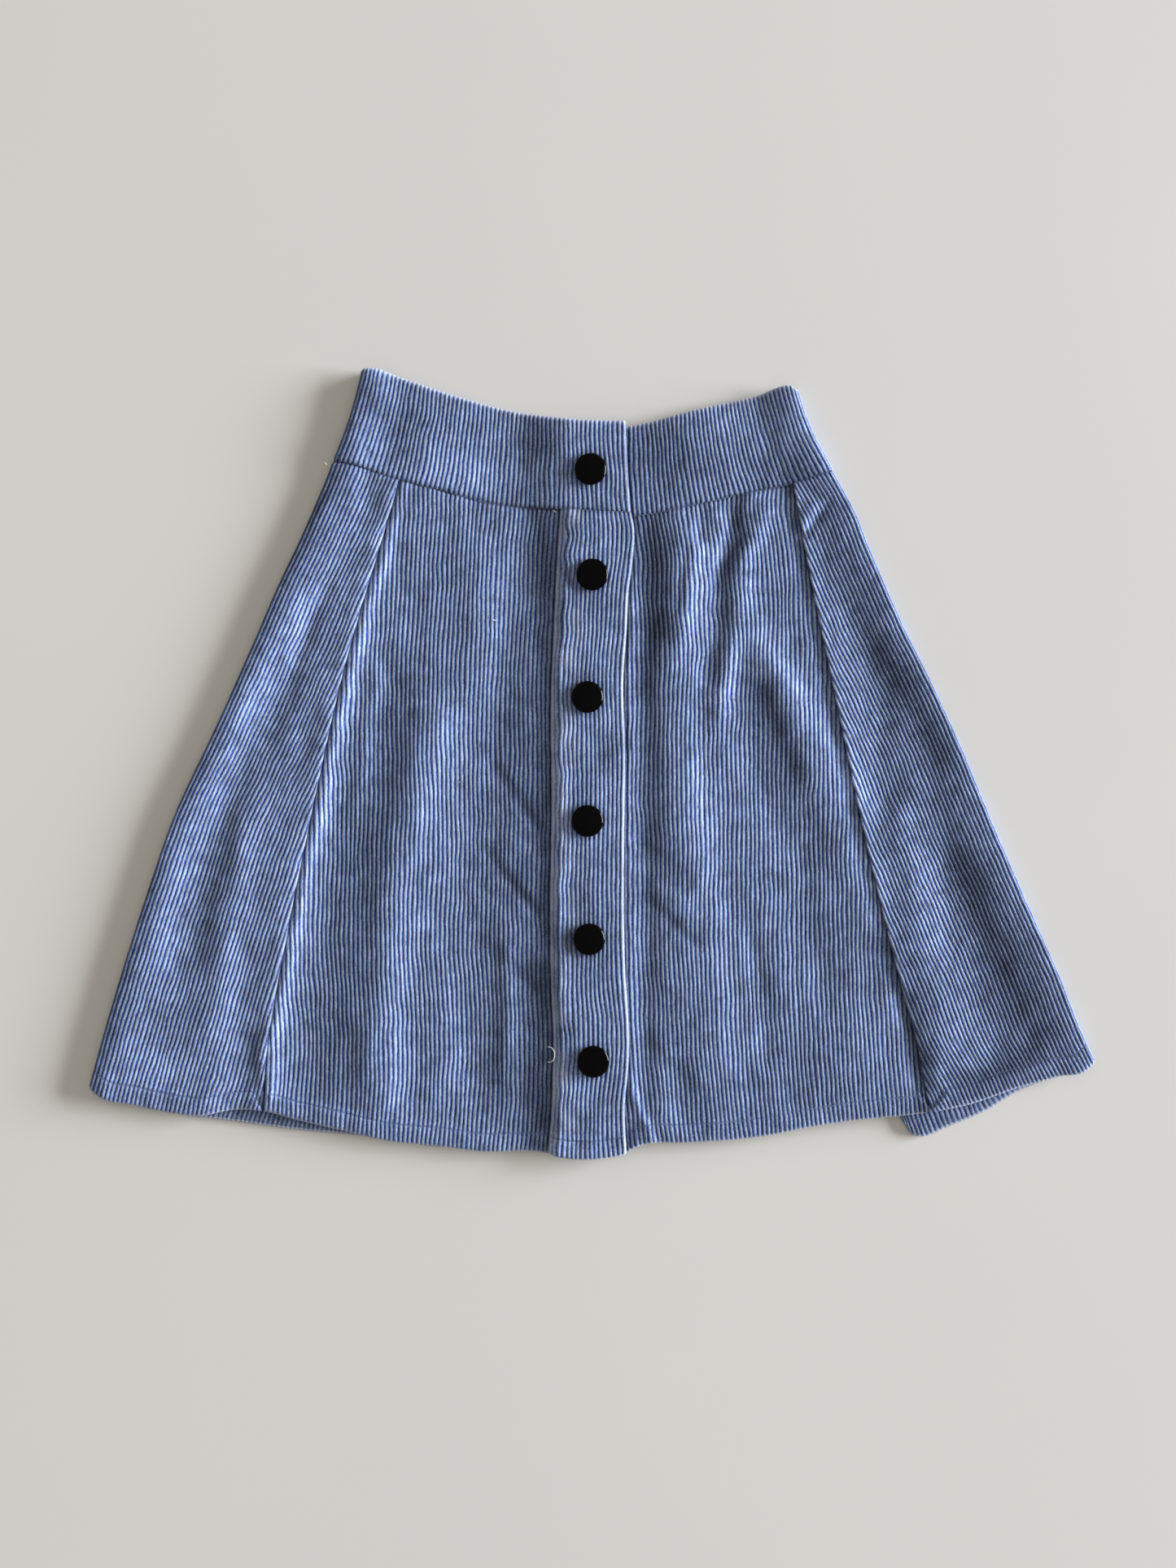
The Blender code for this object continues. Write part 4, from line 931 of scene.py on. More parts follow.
def placket():
    """The placket strip, its wales running along its length."""
    wale = np.arange(PLACKET_WALES * PLACKET_PER_WALE + 1) / PLACKET_PER_WALE

    def x_at(y):
        inner_edge = along(PLACKET_INNER, y) + SEAM_GAP / 2.0
        return inner_edge + (along(PLACKET_EDGE, y) - inner_edge) * wale / PLACKET_WALES

    bottom, top = column_ends(
        x_at, lambda x: along(WAIST_SEAM_RIGHT, x) - SEAM_GAP, lambda x, y: y < ABOVE_SEAM
    )
    y, up = row_heights(bottom, top)
    x = np.array([x_at(row) for row in y])
    inset, to_edge = x - along(PLACKET_INNER, y), along(PLACKET_EDGE, y) - x
    below = along(WAIST_SEAM_RIGHT, x) - y
    free = smooth(inset, 0.3, 6.0) * smooth(to_edge, 1.0, 8.0)
    free = free * smooth(below, 0.0, 8.0) * smooth(up, 0.0, 14.0)
    sewn = near(inset - SEWN_MIDDLE, SEWN_WIDTH)
    x = x + free * (drift(x, y, 0.8) + 1.2 * sewn * ripple(0.0, y, 1.0, 11.0, 31))
    thick, pile, worn = hem_forms(x, up)
    puffed = (0.35 + 0.4 * ripple(x, y, 7.0, 12.0, 32)) * near(inset - 7.0, 6.0)
    puffed = puffed * smooth(inset, 0.0, 4.0) + 0.5 * cockle(x, y)
    thick = thick + PLACKET_WALL - PANEL_WALL + puffed * smooth(up, 0.0, 8.0)
    thick = thick - 0.8 * near(to_edge, 1.3) - 0.7 * near(inset, 1.1)
    inside = placket_inside(x, y)
    pile = pile * smooth(to_edge, 0.1, 1.4) * smooth(inset, 0.0, 1.5)
    # The fold is rubbed pale below the first snaps, and so is the ridge beside the seam.
    rubbed = (0.6 + 0.5 * ripple(0.0, y, 1.0, 21.0, 36)) * smooth(-y, -190.0, -110.0)
    worn = worn + rubbed * near(to_edge - 0.6, 1.0) + 0.35 * near(inset - 2.4, 1.6)
    worn = np.clip(worn + 0.35 * sewn * ripple(x, y, 6.0, 14.0, 33), 0.0, MOST_WORN)
    # Random patches, lighter towards the top, painted shadow round the snaps, and painted shade in the
    # seams, the hem's stitch line and along the fold.
    tone = 0.5 * sewn * ripple(x, y, 5.0, 16.0, 34) + 0.35 * ripple(x, y, 16.0, 26.0, 35)
    tone = tone + 0.16 * smooth(y, 60.0, 130.0) + by_snaps(x, y)
    tone = tone - 0.8 * near(below, 1.2) - 0.7 * near(inset, 1.0)
    tone = tone - 0.5 * near(up - HEM_STITCH, 1.0) - FOLD_SHADE * near(to_edge - 1.6, 1.8)
    outer, inner = grid(x, y, inside + thick), grid(x, y, inside)
    sheet_piece("placket", outer, inner, every(len(wale)), wale, pile, worn, tone)
    STITCH_LINES.append(outer[STITCH_ROW][PLACKET_PER_WALE:-PLACKET_PER_WALE])


placket()

# %% [markdown]
# ## Waistband
# One doubled strip goes from the hidden left end, round the back, to the end that laps over it in
# front. Its wales run up and down and close up slightly towards the top, as the band was shaped. At the
# sides it turns in a soft roll. The top edge is a fold, rubbed nearly white on the crests.

# %% Sizes and tones of the waistband
BAND_SHARES = (0, 0.008, 0.02, 0.045, 0.09, *np.linspace(0.15, 0.9, 14), 0.95, 0.975, 0.99, 1.0)
BACK_COLUMNS = 4  # for each wale where the band lies under the skirt
ROLL_WALES = 4
BAND_BOW = 0.4  # the wales lean more near the seam than at the top
BAND_FAN = 1.5  # and more towards the sides than in the middle
BAND_DEPTH = 64.0
BACK_WEAR = 0.5  # the hidden top edge is less rubbed
BAND_REACH = BAND_RADIUS - PILE - BAND_WALL  # from the axis of a side's roll to the inner face
LEFT_ENDS = WAIST_SEAM_LEFT[-1], WAIST_TOP_LEFT[-1]  # where the band turns, at its seam and top
RIGHT_ENDS = SIDE_RIGHT[-2][::-1], WAIST_TOP_RIGHT[0]
BAND_TONES = [  # x, y, half width, half length, how much lighter
    (-90.0, 225.0, 60.0, 40.0, 0.16),
    (-85.0, 203.0, 50.0, 9.0, 0.40),
    (-115.0, 238.0, 20.0, 9.0, -0.35),
    (-69.0, 226.0, 9.0, 10.0, 0.30),
    (-36.0, 222.0, 10.0, 14.0, -0.60),
    (62.0, 212.0, 42.0, 16.0, -0.50),
    (40.0, 225.0, 12.0, 12.0, -0.20),
    (44.0, 222.0, 18.0, 40.0, -0.28),
    (12.0, 215.0, 14.0, 30.0, 0.22),
    (108.0, 236.0, 24.0, 10.0, 0.30),
    (141.0, 236.0, 14.0, 30.0, 0.75),
    (-144.0, 240.0, 12.0, 24.0, -0.55),
    (-157.0, 255.0, 10.0, 16.0, -0.95),
    (-171.0, 225.0, 9.0, 18.0, -0.80),
]


def band_tone(x, y):
    """Patches of painted light and shade on the band."""
    patches = [much * near(x - at, wide) * near(y - up, tall) for at, up, wide, tall, much in BAND_TONES]
    return sum(patches)


print("patches of tone on the band:", len(BAND_TONES))

# %% [markdown]
# ## One row of the waistband
# A row is made as five stretches: left front, left roll, back, right roll and right front. They share
# one rule for how thick the band is, how its pile stands and where it is worn, from the seam to the
# fold. On the front its soft folds lift it, and the wales wander a little.

# %% Stretches of a row
def band_forms(part, depth, x, y):
    """Thickness, pile and wear over the band's depth: sewn in below, folded at the top."""
    up, down = part * depth, (1.0 - part) * depth
    thick = BAND_WALL - SEAM_DIP * near(up, 1.4) - 0.75 * near(down, 0.8)
    thick = thick + 0.18 * ripple(x, 0.0, 7.0, 1.0, 41) * near(up, 8.0)
    thick = thick + 0.12 * ripple(x, y, 9.0, 18.0, 42)
    return thick, (1.0 - 0.35 * near(up, 1.2)) * (1.0 - 0.35 * near(down, 0.8)), 0.75 * near(down, 1.4)


def stretch(outer, inner, *facts):
    """One row's stretch of the strip, each of its facts spread over all its places."""
    return outer, inner, *[np.broadcast_to(fact, len(outer)) for fact in facts]


def band_front(part, lean, seam, top, x_seam, x_top, from_roll):
    """One row's stretch on the front: outer and inner places, pile, wear and tone."""
    x = x_seam + (x_top - x_seam) * lean
    low, high = along(seam, x_seam), along(top, x_top)
    y, depth = low + (high - low) * part, high - low
    thick, pile, worn = band_forms(part, depth, x, y)
    settled = smooth(from_roll, 0.0, EASE_IN)
    wander = 0.7 * ripple(x, y, 16.0, 22.0, 43) + 0.4 * ripple(x, y, 9.0, 12.0, 44)
    wander = wander * settled * math.sin(math.pi * part)
    rest = BAND_REST + sum(height * near(x - at, wide) for at, wide, height in BAND_FOLDS)
    end = BAND_END[0] + (BAND_END[1] - BAND_END[0]) * part - x
    # Painted shadow round the snaps and painted shade in the waist seam, over the band's patches of
    # painted light and shade.
    tone = band_tone(x, y) + by_snaps(x, y) - 0.9 * near(part * depth, 1.3)
    if seam is WAIST_SEAM_RIGHT:
        # This end laps over the other one, and is rounded and a little worn along its fold.
        rest = rest + BAND_LAP * smooth(x, BAND_UNDER_END - BAND_LAP_RUN, BAND_UNDER_END - 2.0)
        thick = thick - 0.8 * near(end, 1.3)
        pile = pile * smooth(end, 0.1, 1.4)
        worn = worn + 0.3 * near(end - 0.5, 0.8)
        wander = wander * smooth(end, 1.0, 8.0)
        # Painted shade tones down the fold, which faces the window.
        tone = tone - FOLD_SHADE * near(end - 0.6, 1.8)
    else:
        # Painted shadow cast by the lapping end on the band beside it.
        tone = tone - 1.7 * near(end + 0.8, 2.0)
    z = (1.0 - settled) * (BAND_RADIUS + BAND_REACH) + settled * rest
    # Painted light where the band slopes down towards the window and painted shade where it slopes up.
    tone = tone + np.clip(-3.0 * np.gradient(z, x), -0.4, 0.4)
    return stretch(grid(x + wander, y, z + thick), grid(x, y, z), pile, worn, tone)


def roll_axis(ends, lean, sign):
    """X of the axis of a side's roll in one row."""
    return ends[0][0] + (ends[1][0] - ends[0][0]) * lean - sign * BAND_RADIUS


def band_roll(part, lean, ends, sign, angles):
    """One row's stretch round a side, at these angles from the roll's top."""
    x, y = roll_axis(ends, lean, sign), ends[0][1] + (ends[1][1] - ends[0][1]) * part
    thick, pile, worn = band_forms(part, math.dist(*ends), x, y)
    outer, inner = [
        grid(x + sign * radius * np.sin(angles), y, BAND_RADIUS + radius * np.cos(angles))
        for radius in (BAND_REACH + thick, BAND_REACH)
    ]
    return stretch(outer, inner, pile, worn, ROLL_SHADE[sign])


def band_back(part, lean, steps):
    """One row's stretch under the skirt, face down on the floor."""
    start, stop = roll_axis(LEFT_ENDS, lean, 1.0), roll_axis(RIGHT_ENDS, lean, -1.0)
    x = start + (stop - start) * steps
    tops = np.where(x < 0, along(WAIST_TOP_RIGHT, x), along(WAIST_TOP_LEFT, x))
    # Near the rolls the back's edges meet theirs, and elsewhere it lies a little lower.
    clear = smooth(np.minimum(start - x, x - stop), 0.0, 12.0)
    y = waist_at(x) + (tops - BAND_BACK_INSET * clear - waist_at(x)) * part
    thick, pile, worn = band_forms(part, BAND_DEPTH, x, y)
    top = BAND_WALL + PILE
    return stretch(grid(x, y, top - thick), grid(x, y, top), pile, BACK_WEAR * worn, 0.0)


print("rows in the waistband:", len(BAND_SHARES))

# %% [markdown]
# ## The strip from its rows
# The rows are stacked into one grid. Its columns follow the wales, which are counted from the hidden
# left end to the one that laps over it, and they fan out a little towards the sides.

# %% Whole waistband
def waistband():
    """One strip: hidden left end, left front, round the back, right front with the overlap."""
    left_steps = np.linspace(0.0, 1.0, BAND_WALES_LEFT * PER_WALE + 1)
    right_steps = np.linspace(0.0, 1.0, BAND_WALES_RIGHT * PER_WALE + 1)
    roll = np.radians(np.linspace(0.0, 180.0, ROLL_WALES * PER_WALE + 1))
    back_wales = round((LEFT_ENDS[0][0] - RIGHT_ENDS[0][0]) / WALE) - 3
    back_steps = np.linspace(0.0, 1.0, back_wales * BACK_COLUMNS + 1)
    right_start = RIGHT_ENDS[0][0] + BAND_RADIUS
    left_span = left_steps * (LEFT_ENDS[0][0] - BAND_RADIUS - BAND_UNDER_END)
    right_span = right_steps * (BAND_END[0] - right_start)
    left_fan = left_steps**BAND_FAN * (LEFT_ENDS[1][0] - LEFT_ENDS[0][0])
    right_fan = (1.0 - right_steps) ** BAND_FAN * (RIGHT_ENDS[1][0] - RIGHT_ENDS[0][0])
    right_fan = right_fan + right_steps**BAND_FAN * (BAND_END[1] - BAND_END[0])
    left_x, right_x = BAND_UNDER_END + left_span, right_start + right_span
    rows = []
    for part in BAND_SHARES:
        lean = part + BAND_BOW * part * (1.0 - part)
        left = WAIST_SEAM_LEFT, WAIST_TOP_LEFT, left_x, left_x + left_fan
        right = WAIST_SEAM_RIGHT, WAIST_TOP_RIGHT, right_x, right_x + right_fan
        stretches = [
            band_front(part, lean, *left, left_span[-1] - left_span),
            band_roll(part, lean, LEFT_ENDS, 1.0, roll[1:]),
            band_back(part, lean, back_steps[1:-1]),
            band_roll(part, lean, RIGHT_ENDS, -1.0, roll[::-1][:-1]),
            band_front(part, lean, *right, right_span),
        ]
        rows.append([np.concatenate(made) for made in zip(*stretches)])
    outer, inner, pile, worn, tone = [np.array(made) for made in zip(*rows)]
    after_roll = BAND_WALES_LEFT + ROLL_WALES
    wale = np.concatenate([
        np.arange(len(left_steps)) / PER_WALE,
        BAND_WALES_LEFT + np.arange(1, len(roll)) / PER_WALE,
        after_roll + np.arange(1, len(back_steps) - 1) / BACK_COLUMNS,
        after_roll + back_wales + np.arange(len(roll) - 1) / PER_WALE,
        after_roll + back_wales + ROLL_WALES + np.arange(len(right_steps)) / PER_WALE,
    ])
    first = every(len(left_steps))
    last = [len(wale) - len(right_steps) + c for c in every(len(right_steps))]
    between = list(range(first[-1] + 3, last[0] - 1, 4))
    sheet_piece("waistband", outer, inner, first + between + last, wale, pile, worn, tone)


waistband()

# %% [markdown]
# ## Back
# The back lies under everything, flat on the floor. It is cut in one with straight wales, so the
# slanted sides cut across them. Its side edges turn up in the other half of the soft roll. Its hem is
# turned up to the inside, which lies uppermost here, and shows as a ribbed strip below the front.

# %% Back panel and its hem
BACK_REACH = 349.0  # from the middle to the first wale
BACK_ROWS, BACK_PER_WALE, BACK_COARSE = 18, 4, 8
BACK_LOW_ROWS = np.array([0.0, 0.5, 1.5, 6.0, 12.5, 15.5])[:, None]  # heights over the hem
ROLL_STEPS = np.array([3.4, 2.5, 1.7, 1.0, 0.45, 0.12, 0.0])  # out from the flat to the edge
WAIST_STEPS = np.array([8.0, 5.0, 3.0, 2.0, 1.0, 0.5, 0.0])[:, None]
LEAST_ROWS = np.linspace(0.3, 0.6, len(ROLL_STEPS))[:, None]  # over the hem, in the shortest columns
BACK_EDGE_WALL, BACK_TOP = 0.15, 3.6  # the wall at the sides, and the height of its inner face
BACK_HEM_ROWS = np.array([0.0, 0.5, 1.5, 5.0, 9.0, 13.0, 18.0])[:, None]
BACK_HEM_LEAN, BACK_HEM_LEAN_AT = -0.55, 350.0  # sideways for each mm up, at this x
# Painted shade on the back's hem, which lies in shadow below the front.
BACK_HEM_TONE = -0.35


def back_panel():
    """The back: straight wales underneath, both side edges turned up to meet the front."""
    wale = np.arange(int(2 * BACK_REACH / WALE * BACK_PER_WALE)) / BACK_PER_WALE
    x = -BACK_REACH + wale * WALE
    bottom, sign = along(HEM_BACK, x), np.where(x < 0, -1.0, 1.0)
    # A column ends where it passes a side's edge or the waist's seam.
    sides = [np.array(sorted(row[::-1] for row in side)).T for side in (SIDE_RIGHT, SIDE_LEFT)]
    by_side = np.array([
        np.where(x < 0, *[np.interp(x + sign * (out + PILE), *side) for side in sides])
        for out in ROLL_STEPS
    ])
    by_waist = waist_at(x) - SEAM_GAP - WAIST_STEPS
    top = np.maximum(np.minimum(by_side, by_waist), bottom + LEAST_ROWS)
    scale = np.minimum(1.0, (top[0] - bottom) / FULL_HEM_LENGTH)
    low = bottom + BACK_LOW_ROWS * scale
    middle = low[-1] + (top[0] - low[-1]) * np.linspace(0.0, 1.0, BACK_ROWS)[1:-1, None]
    y = np.concatenate([low, middle, top])
    up = (y - bottom) / scale
    # The side edges are drawn in by the pile, so that the wales reach the solid's edge.
    core = SIDE_RADIUS - PILE
    inset = np.clip(np.minimum(x - along(SIDE_RIGHT, y), along(SIDE_LEFT, y) - x) - PILE, 0.0, core)
    face = SIDE_RADIUS - np.sqrt(np.maximum(core**2 - (core - inset) ** 2, 0.0))
    face = face + 0.35 * near(up, 0.6)
    wall = BACK_EDGE_WALL + (BACK_WALL - PILE - BACK_EDGE_WALL) * smooth(inset, 0.0, 1.5)
    outer, inner = grid(x, y, face), grid(x, y, np.minimum(face + wall, BACK_TOP))
    pile = 1.0 - 0.5 * near(up, 0.8) - 0.6 * near(up - HEM_STITCH, 0.8)
    pile, worn = pile * smooth(inset, -0.1, 0.3), 0.6 * near(up, 0.9)
    # Underneath, the face looks down: columns run the other way so that it points outwards.
    outer, inner, pile, worn = [made[:, ::-1] for made in (outer, inner, pile, worn)]
    coarse = every(len(wale), BACK_COARSE)
    sheet_piece("back_panel", outer, inner, coarse, wale[::-1], pile, worn, 0.0)


def back_hem():
    """The turned-up hem that lies on the back; its wales lean with the skirt's flare."""
    start, end = HEM_BACK[0][0] + BACK_HEM_SIDE, HEM_BACK[-1][0] - BACK_HEM_SIDE
    wales = int((end - start) / WALE)
    wale = np.arange(wales * PER_WALE + 1) / PER_WALE
    x = start + wale / wales * (end - start)
    depth = BACK_HEM_ROWS * np.minimum(1.0, (end + BACK_HEM_SIDE - x) / BACK_HEM_DEPTH)
    lean = BACK_HEM_LEAN * (x / BACK_HEM_LEAN_AT) * smooth(np.abs(x), 20.0, 230.0)
    inset = np.clip(np.minimum(x - start, end - x) / 20.0, 0.0, 1.0)
    x, y = x + lean * depth * inset, along(HEM_BACK, x) + BACK_HEM_LIFT + depth
    rounded = smooth(BACK_HEM_ROWS, 0.0, HEM_ROUND)
    under = BACK_WALL + SEAM_GAP
    over = under + BACK_HEM_WALL * (EDGE_SHARE + (1.0 - EDGE_SHARE) * rounded)
    pile, worn = 0.75 * (0.5 + 0.5 * rounded), 0.9 * near(BACK_HEM_ROWS, 1.0)
    outer, inner = grid(x, y, over), grid(x, y, under)
    sheet_piece("back_hem", outer, inner, every(len(wale)), wale, pile, worn, BACK_HEM_TONE)


back_panel()
back_hem()

# %% [markdown]
# ## Stitches
# The hems and the waist seam are sewn with blue thread that sinks between the wales. A stitch is the
# same small thing again and again along a line, so Geometry Nodes lay it: the line is cut into equal
# steps, a short rounded bar is set on each and turned along the line, and the copies are made real.
# Mercerised cotton thread is a little smoother and darker than the pile round it.

# %% The sewing tree and its seams
THREAD, *_ = clouded_material("cotton_thread", 900.0, 2.0, ("#33436F", "#6C7EAE"), {"Roughness": 0.7})
HEM_THREAD_LIFT, SEAM_LOWER = 0.18, 2.0  # the cloth's height is taken this far under the seam
SEAM_PARTS = [  # between which x, the face that the seam lies on, and its height over that
    (-173.0, -25.0, front_inside, 0.75),
    (-21.0, 25.0, placket_inside, 1.2),
    (31.0, 161.0, front_inside, 0.75),
]


def sewing_tree():
    """Lay rounded stitches along every edge line of the given mesh."""
    tree, given, result = geometry_tree("sew", Pitch="Float", Length="Float", Thickness="Float")
    node = partial(add_node, tree)
    line = {"Curve": node("GeometryNodeMeshToCurve", {"Mesh": given["Mesh"]})}
    places = node("GeometryNodeCurveToPoints", {**line, "Length": given["Pitch"]}, mode="LENGTH")
    bar = node("GeometryNodeMeshUVSphere", {"Segments": 6, "Rings": 5, "Radius": 0.5})
    wide = given["Thickness"]
    size = node("ShaderNodeCombineXYZ", {0: wide, 1: wide, 2: given["Length"]})
    turn = places.node.outputs["Rotation"]
    copies = {"Points": places, "Instance": bar, "Rotation": turn, "Scale": size}
    return close_tree(tree, node("GeometryNodeInstanceOnPoints", copies), given, result)


SEWING = sewing_tree()


def sew(name, lines, pitch, length, thickness):
    """Stitches along lines of points in mm, as one piece."""
    points, edges = [], []
    for line in lines:
        edges += [(k, k + 1) for k in range(len(points), len(points) + len(line) - 1)]
        points += (line * MM).tolist()
    mesh = bpy.data.meshes.new(name)
    mesh.from_pydata(points, edges, [])
    sizes = {"Pitch": pitch * MM, "Length": length * MM, "Thickness": thickness * MM}
    piece = run_tree(new_object(name, mesh), SEWING, {**sizes, "Material": THREAD})
    piece.data.shade_smooth()
    print(name, "has", len(piece.data.polygons), "faces")
    return piece


hem_lines = [line + [0.0, 0.0, HEM_THREAD_LIFT] for line in STITCH_LINES]
seam_x = np.linspace(-172.0, 160.0, 160)
seam_y = np.where(seam_x < BAND_END[0], along(WAIST_SEAM_RIGHT, seam_x), along(WAIST_SEAM_LEFT, seam_x))
seam_lines = []
for start, end, face_of, over in SEAM_PARTS:
    chosen = (seam_x > start) & (seam_x < end)
    x, y = seam_x[chosen], seam_y[chosen] - SEAM_GAP / 2.0
    seam_lines.append(grid(x, y, face_of(x, y - SEAM_LOWER) + over))
hem_stitches = sew("hem_stitches", hem_lines, pitch=3.0, length=2.3, thickness=0.5)
waist_stitches = sew("waist_stitches", seam_lines, pitch=2.8, length=2.2, thickness=0.6)

# %% [markdown]
# ## Snap caps
# Six black caps close the front. A real one is stamped sheet metal with a rolled rim, dipped in
# enamel: a deep gloss black that mirrors little except at its rim. It is round, so a short profile of
# radius and height is turned round its axis, as on a lathe. Each cap sits at the height of its CAD
# solid, which rests on the highest wales under it.

# %% Turned caps
CAP_PROFILE = [  # radius, height over the underside
    (9.9, 0.0), (10.6, 0.12), (11.0, 0.45), (11.1, 0.8), (11.05, 1.1), (10.88, 1.35), (10.1, 1.95),
    (9.8, 2.12), (9.4, 2.2), (8.2, 2.32), (6.5, 2.44), (4.5, 2.55), (2.2, 2.66),
]
CAP_CROWN, CAP_SIDES = 2.7, 64
ENAMEL, enamel_tree, enamel_shader, scuffs = clouded_material(
    "black_enamel", 420.0, 5.0, ("#010102", "#040506"), {"Specular IOR Level": 0.07}
)
scuffed = {"Value": scuffs, "From Min": 0.4, "From Max": 0.75, "To Min": 0.1, "To Max": 0.22}
rough = add_node(enamel_tree, "ShaderNodeMapRange", scuffed)
enamel_tree.links.new(rough, enamel_shader.inputs["Roughness"])


def snap_cap(number, x, y):
    """One turned cap in place, which stands for its CAD node."""
    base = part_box(f"snap_{number}")[0].z / MM
    turn = np.linspace(0.0, 2.0 * math.pi, CAP_SIDES, endpoint=False)
    radius, height = np.array(CAP_PROFILE).T[..., None]
    rings = grid(x + radius * np.cos(turn), y + radius * np.sin(turn), base + height).reshape(-1, 3)
    points = np.concatenate([rings, [(x, y, base), (x, y, base + CAP_CROWN)]])
    under, crown, last = len(rings), len(rings) + 1, len(rings) - CAP_SIDES
    faces = []
    for k in range(CAP_SIDES):
        after = (k + 1) % CAP_SIDES
        for low in range(0, last, CAP_SIDES):
            high = low + CAP_SIDES
            faces.append((low + k, low + after, high + after, high + k))
        faces += [(under, after, k), (crown, last + k, last + after)]
    mesh = bpy.data.meshes.new(f"snap_{number}_cap")
    mesh.from_pydata((points * MM).tolist(), [], faces)
    mesh.materials.append(ENAMEL)
    mesh.shade_smooth()
    cap = new_object(mesh.name, mesh)
    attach(cap, "root")
    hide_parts(f"snap_{number}")
    return cap


caps = [snap_cap(number, x, y) for number, (x, y) in enumerate(SNAPS, start=1)]
print("caps:", len(caps))

# %% [markdown]
# ## Lint
# Corduroy catches lint. Short fibres of undyed cotton, matt and off-white, lie on it at random, so a
# tree scatters points over the upward faces of all the sheets, with a fixed seed, and sets a small bent
# fibre on each.

# %% Scattered lint
FIBRE, *_ = clouded_material(
    "white_cotton_fibre", 500.0, 2.0, ("#C9CEDA", "#F4F2EC"), {"Roughness": 0.9}
)
LINT = {"Density": 1800.0, "Length": 1.2 * MM, "Seed": 5}  # fibres to the square metre
FACES_UP = 0.6  # height of a normal whose face catches lint
LEAST_TURN, MOST_TURN = (-0.25, -0.25, 0.0), (0.25, 0.25, 6.283)


def lint_tree():
    """Scatter short bent fibres over what faces up in a collection of sheets."""
    tree, given, result = geometry_tree(
        "scatter_lint", Sheets="Collection", Density="Float", Length="Float", Seed="Int"
    )
    node, seed = partial(add_node, tree), {"Seed": given["Seed"]}
    sheets = node("GeometryNodeCollectionInfo", {"Collection": given["Sheets"]})
    cloth = node("GeometryNodeRealizeInstances", {0: sheets})
    up = node("ShaderNodeSeparateXYZ", {0: node("GeometryNodeInputNormal")}, out=2)
    facing = node("ShaderNodeMath", {0: up, 1: FACES_UP}, operation="GREATER_THAN")
    where = {"Mesh": cloth, "Selection": facing, "Density": given["Density"], **seed}
    spots = node("GeometryNodeDistributePointsOnFaces", where)
    # One fibre is a short arc with a three-sided section.
    bend = {"Resolution": 4, "Radius": 0.5, "Sweep Angle": 1.9}
    arc = node("GeometryNodeCurveArc", bend, mode="RADIUS")
    section = {"Resolution": 3, "Radius": 0.1}
    section = node("GeometryNodeCurvePrimitiveCircle", section, mode="RADIUS")
    tube = {"Curve": arc, "Profile Curve": section, "Fill Caps": True}
    fibre = node("GeometryNodeCurveToMesh", tube)
    # Each copy is turned and sized at random.
    turns = {0: LEAST_TURN, 1: MOST_TURN, **seed}
    spin = node("FunctionNodeRandomValue", turns, data_type="FLOAT_VECTOR")
    grow = node("FunctionNodeRandomValue", {2: 0.35, 3: 1.0, **seed}, out=1, data_type="FLOAT")
    size = node("ShaderNodeMath", {0: grow, 1: given["Length"]}, operation="MULTIPLY")
    copies = {"Points": spots, "Instance": fibre, "Rotation": spin, "Scale": size}
    return close_tree(tree, node("GeometryNodeInstanceOnPoints", copies), given, result)


lint = new_object("lint", bpy.data.meshes.new("lint"))
run_tree(lint, lint_tree(), {"Sheets": SHEETS, **LINT, "Material": FIBRE})
print("lint has", len(lint.data.polygons), "faces")

# %% [markdown]
# ## A loose thread
# One curl of white thread lies beside the lowest snap, and three short bits lie elsewhere on the front.
# Each is a thin round tube that arches a little over the crests of the wales.

# %% A curl of loose thread and three specks
CURL_CENTRE, CURL_HALVES, CURL_THICKNESS = (-29.9, -203.0), (3.91, 5.29), 0.3
CURL_TURN = np.radians(np.linspace(100.0, -105.0, 18))
THREAD_LIFT, THREAD_ARCH = 0.4, 0.5
SPECKS = [  # x, y of the ends of short bits of thread
    ((-69.2, 100.7), (-67.0, 99.9)),
    ((-186.6, 210.4), (-185.0, 208.6)),
    ((-27.0, 176.9), (-25.2, 175.6)),
]


def top_of_cloth(x, y):
    """Height over the floor of the cloth's crests at one place on the front."""
    on_placket = x > along(PLACKET_INNER, y)
    inner = placket_inside(x, y) + PLACKET_WALL if on_placket else front_inside(x, y) + PANEL_WALL
    return float(inner) + PILE


def loose_thread():
    """Thin tubes: an open curl beside the lowest cap, and short bits lying on the cloth."""
    curl = np.stack([np.cos(CURL_TURN), np.sin(CURL_TURN)], axis=1) * CURL_HALVES + CURL_CENTRE
    curve = bpy.data.curves.new("loose_thread", "CURVE")
    curve.dimensions = "3D"
    curve.bevel_depth, curve.bevel_resolution = CURL_THICKNESS * MM, 2
    curve.use_fill_caps = True
    for line in [curl, *SPECKS]:
        spline = curve.splines.new("POLY")
        spline.points.add(len(line) - 1)
        for k, (point, (x, y)) in enumerate(zip(spline.points, line)):
            arch = THREAD_ARCH * math.sin(math.pi * k / (len(line) - 1))
            point.co = (x * MM, y * MM, (top_of_cloth(x, y) + THREAD_LIFT + arch) * MM, 1.0)
    holder = new_object("thread_curve", curve)
    graph = bpy.context.evaluated_depsgraph_get()
    mesh = bpy.data.meshes.new_from_object(holder.evaluated_get(graph))
    bpy.data.objects.remove(holder)
    mesh.materials.clear()
    mesh.materials.append(FIBRE)
    mesh.shade_smooth()
    return new_object("loose_thread", mesh)


thread = loose_thread()
print("loose thread has", len(thread.data.polygons), "faces")
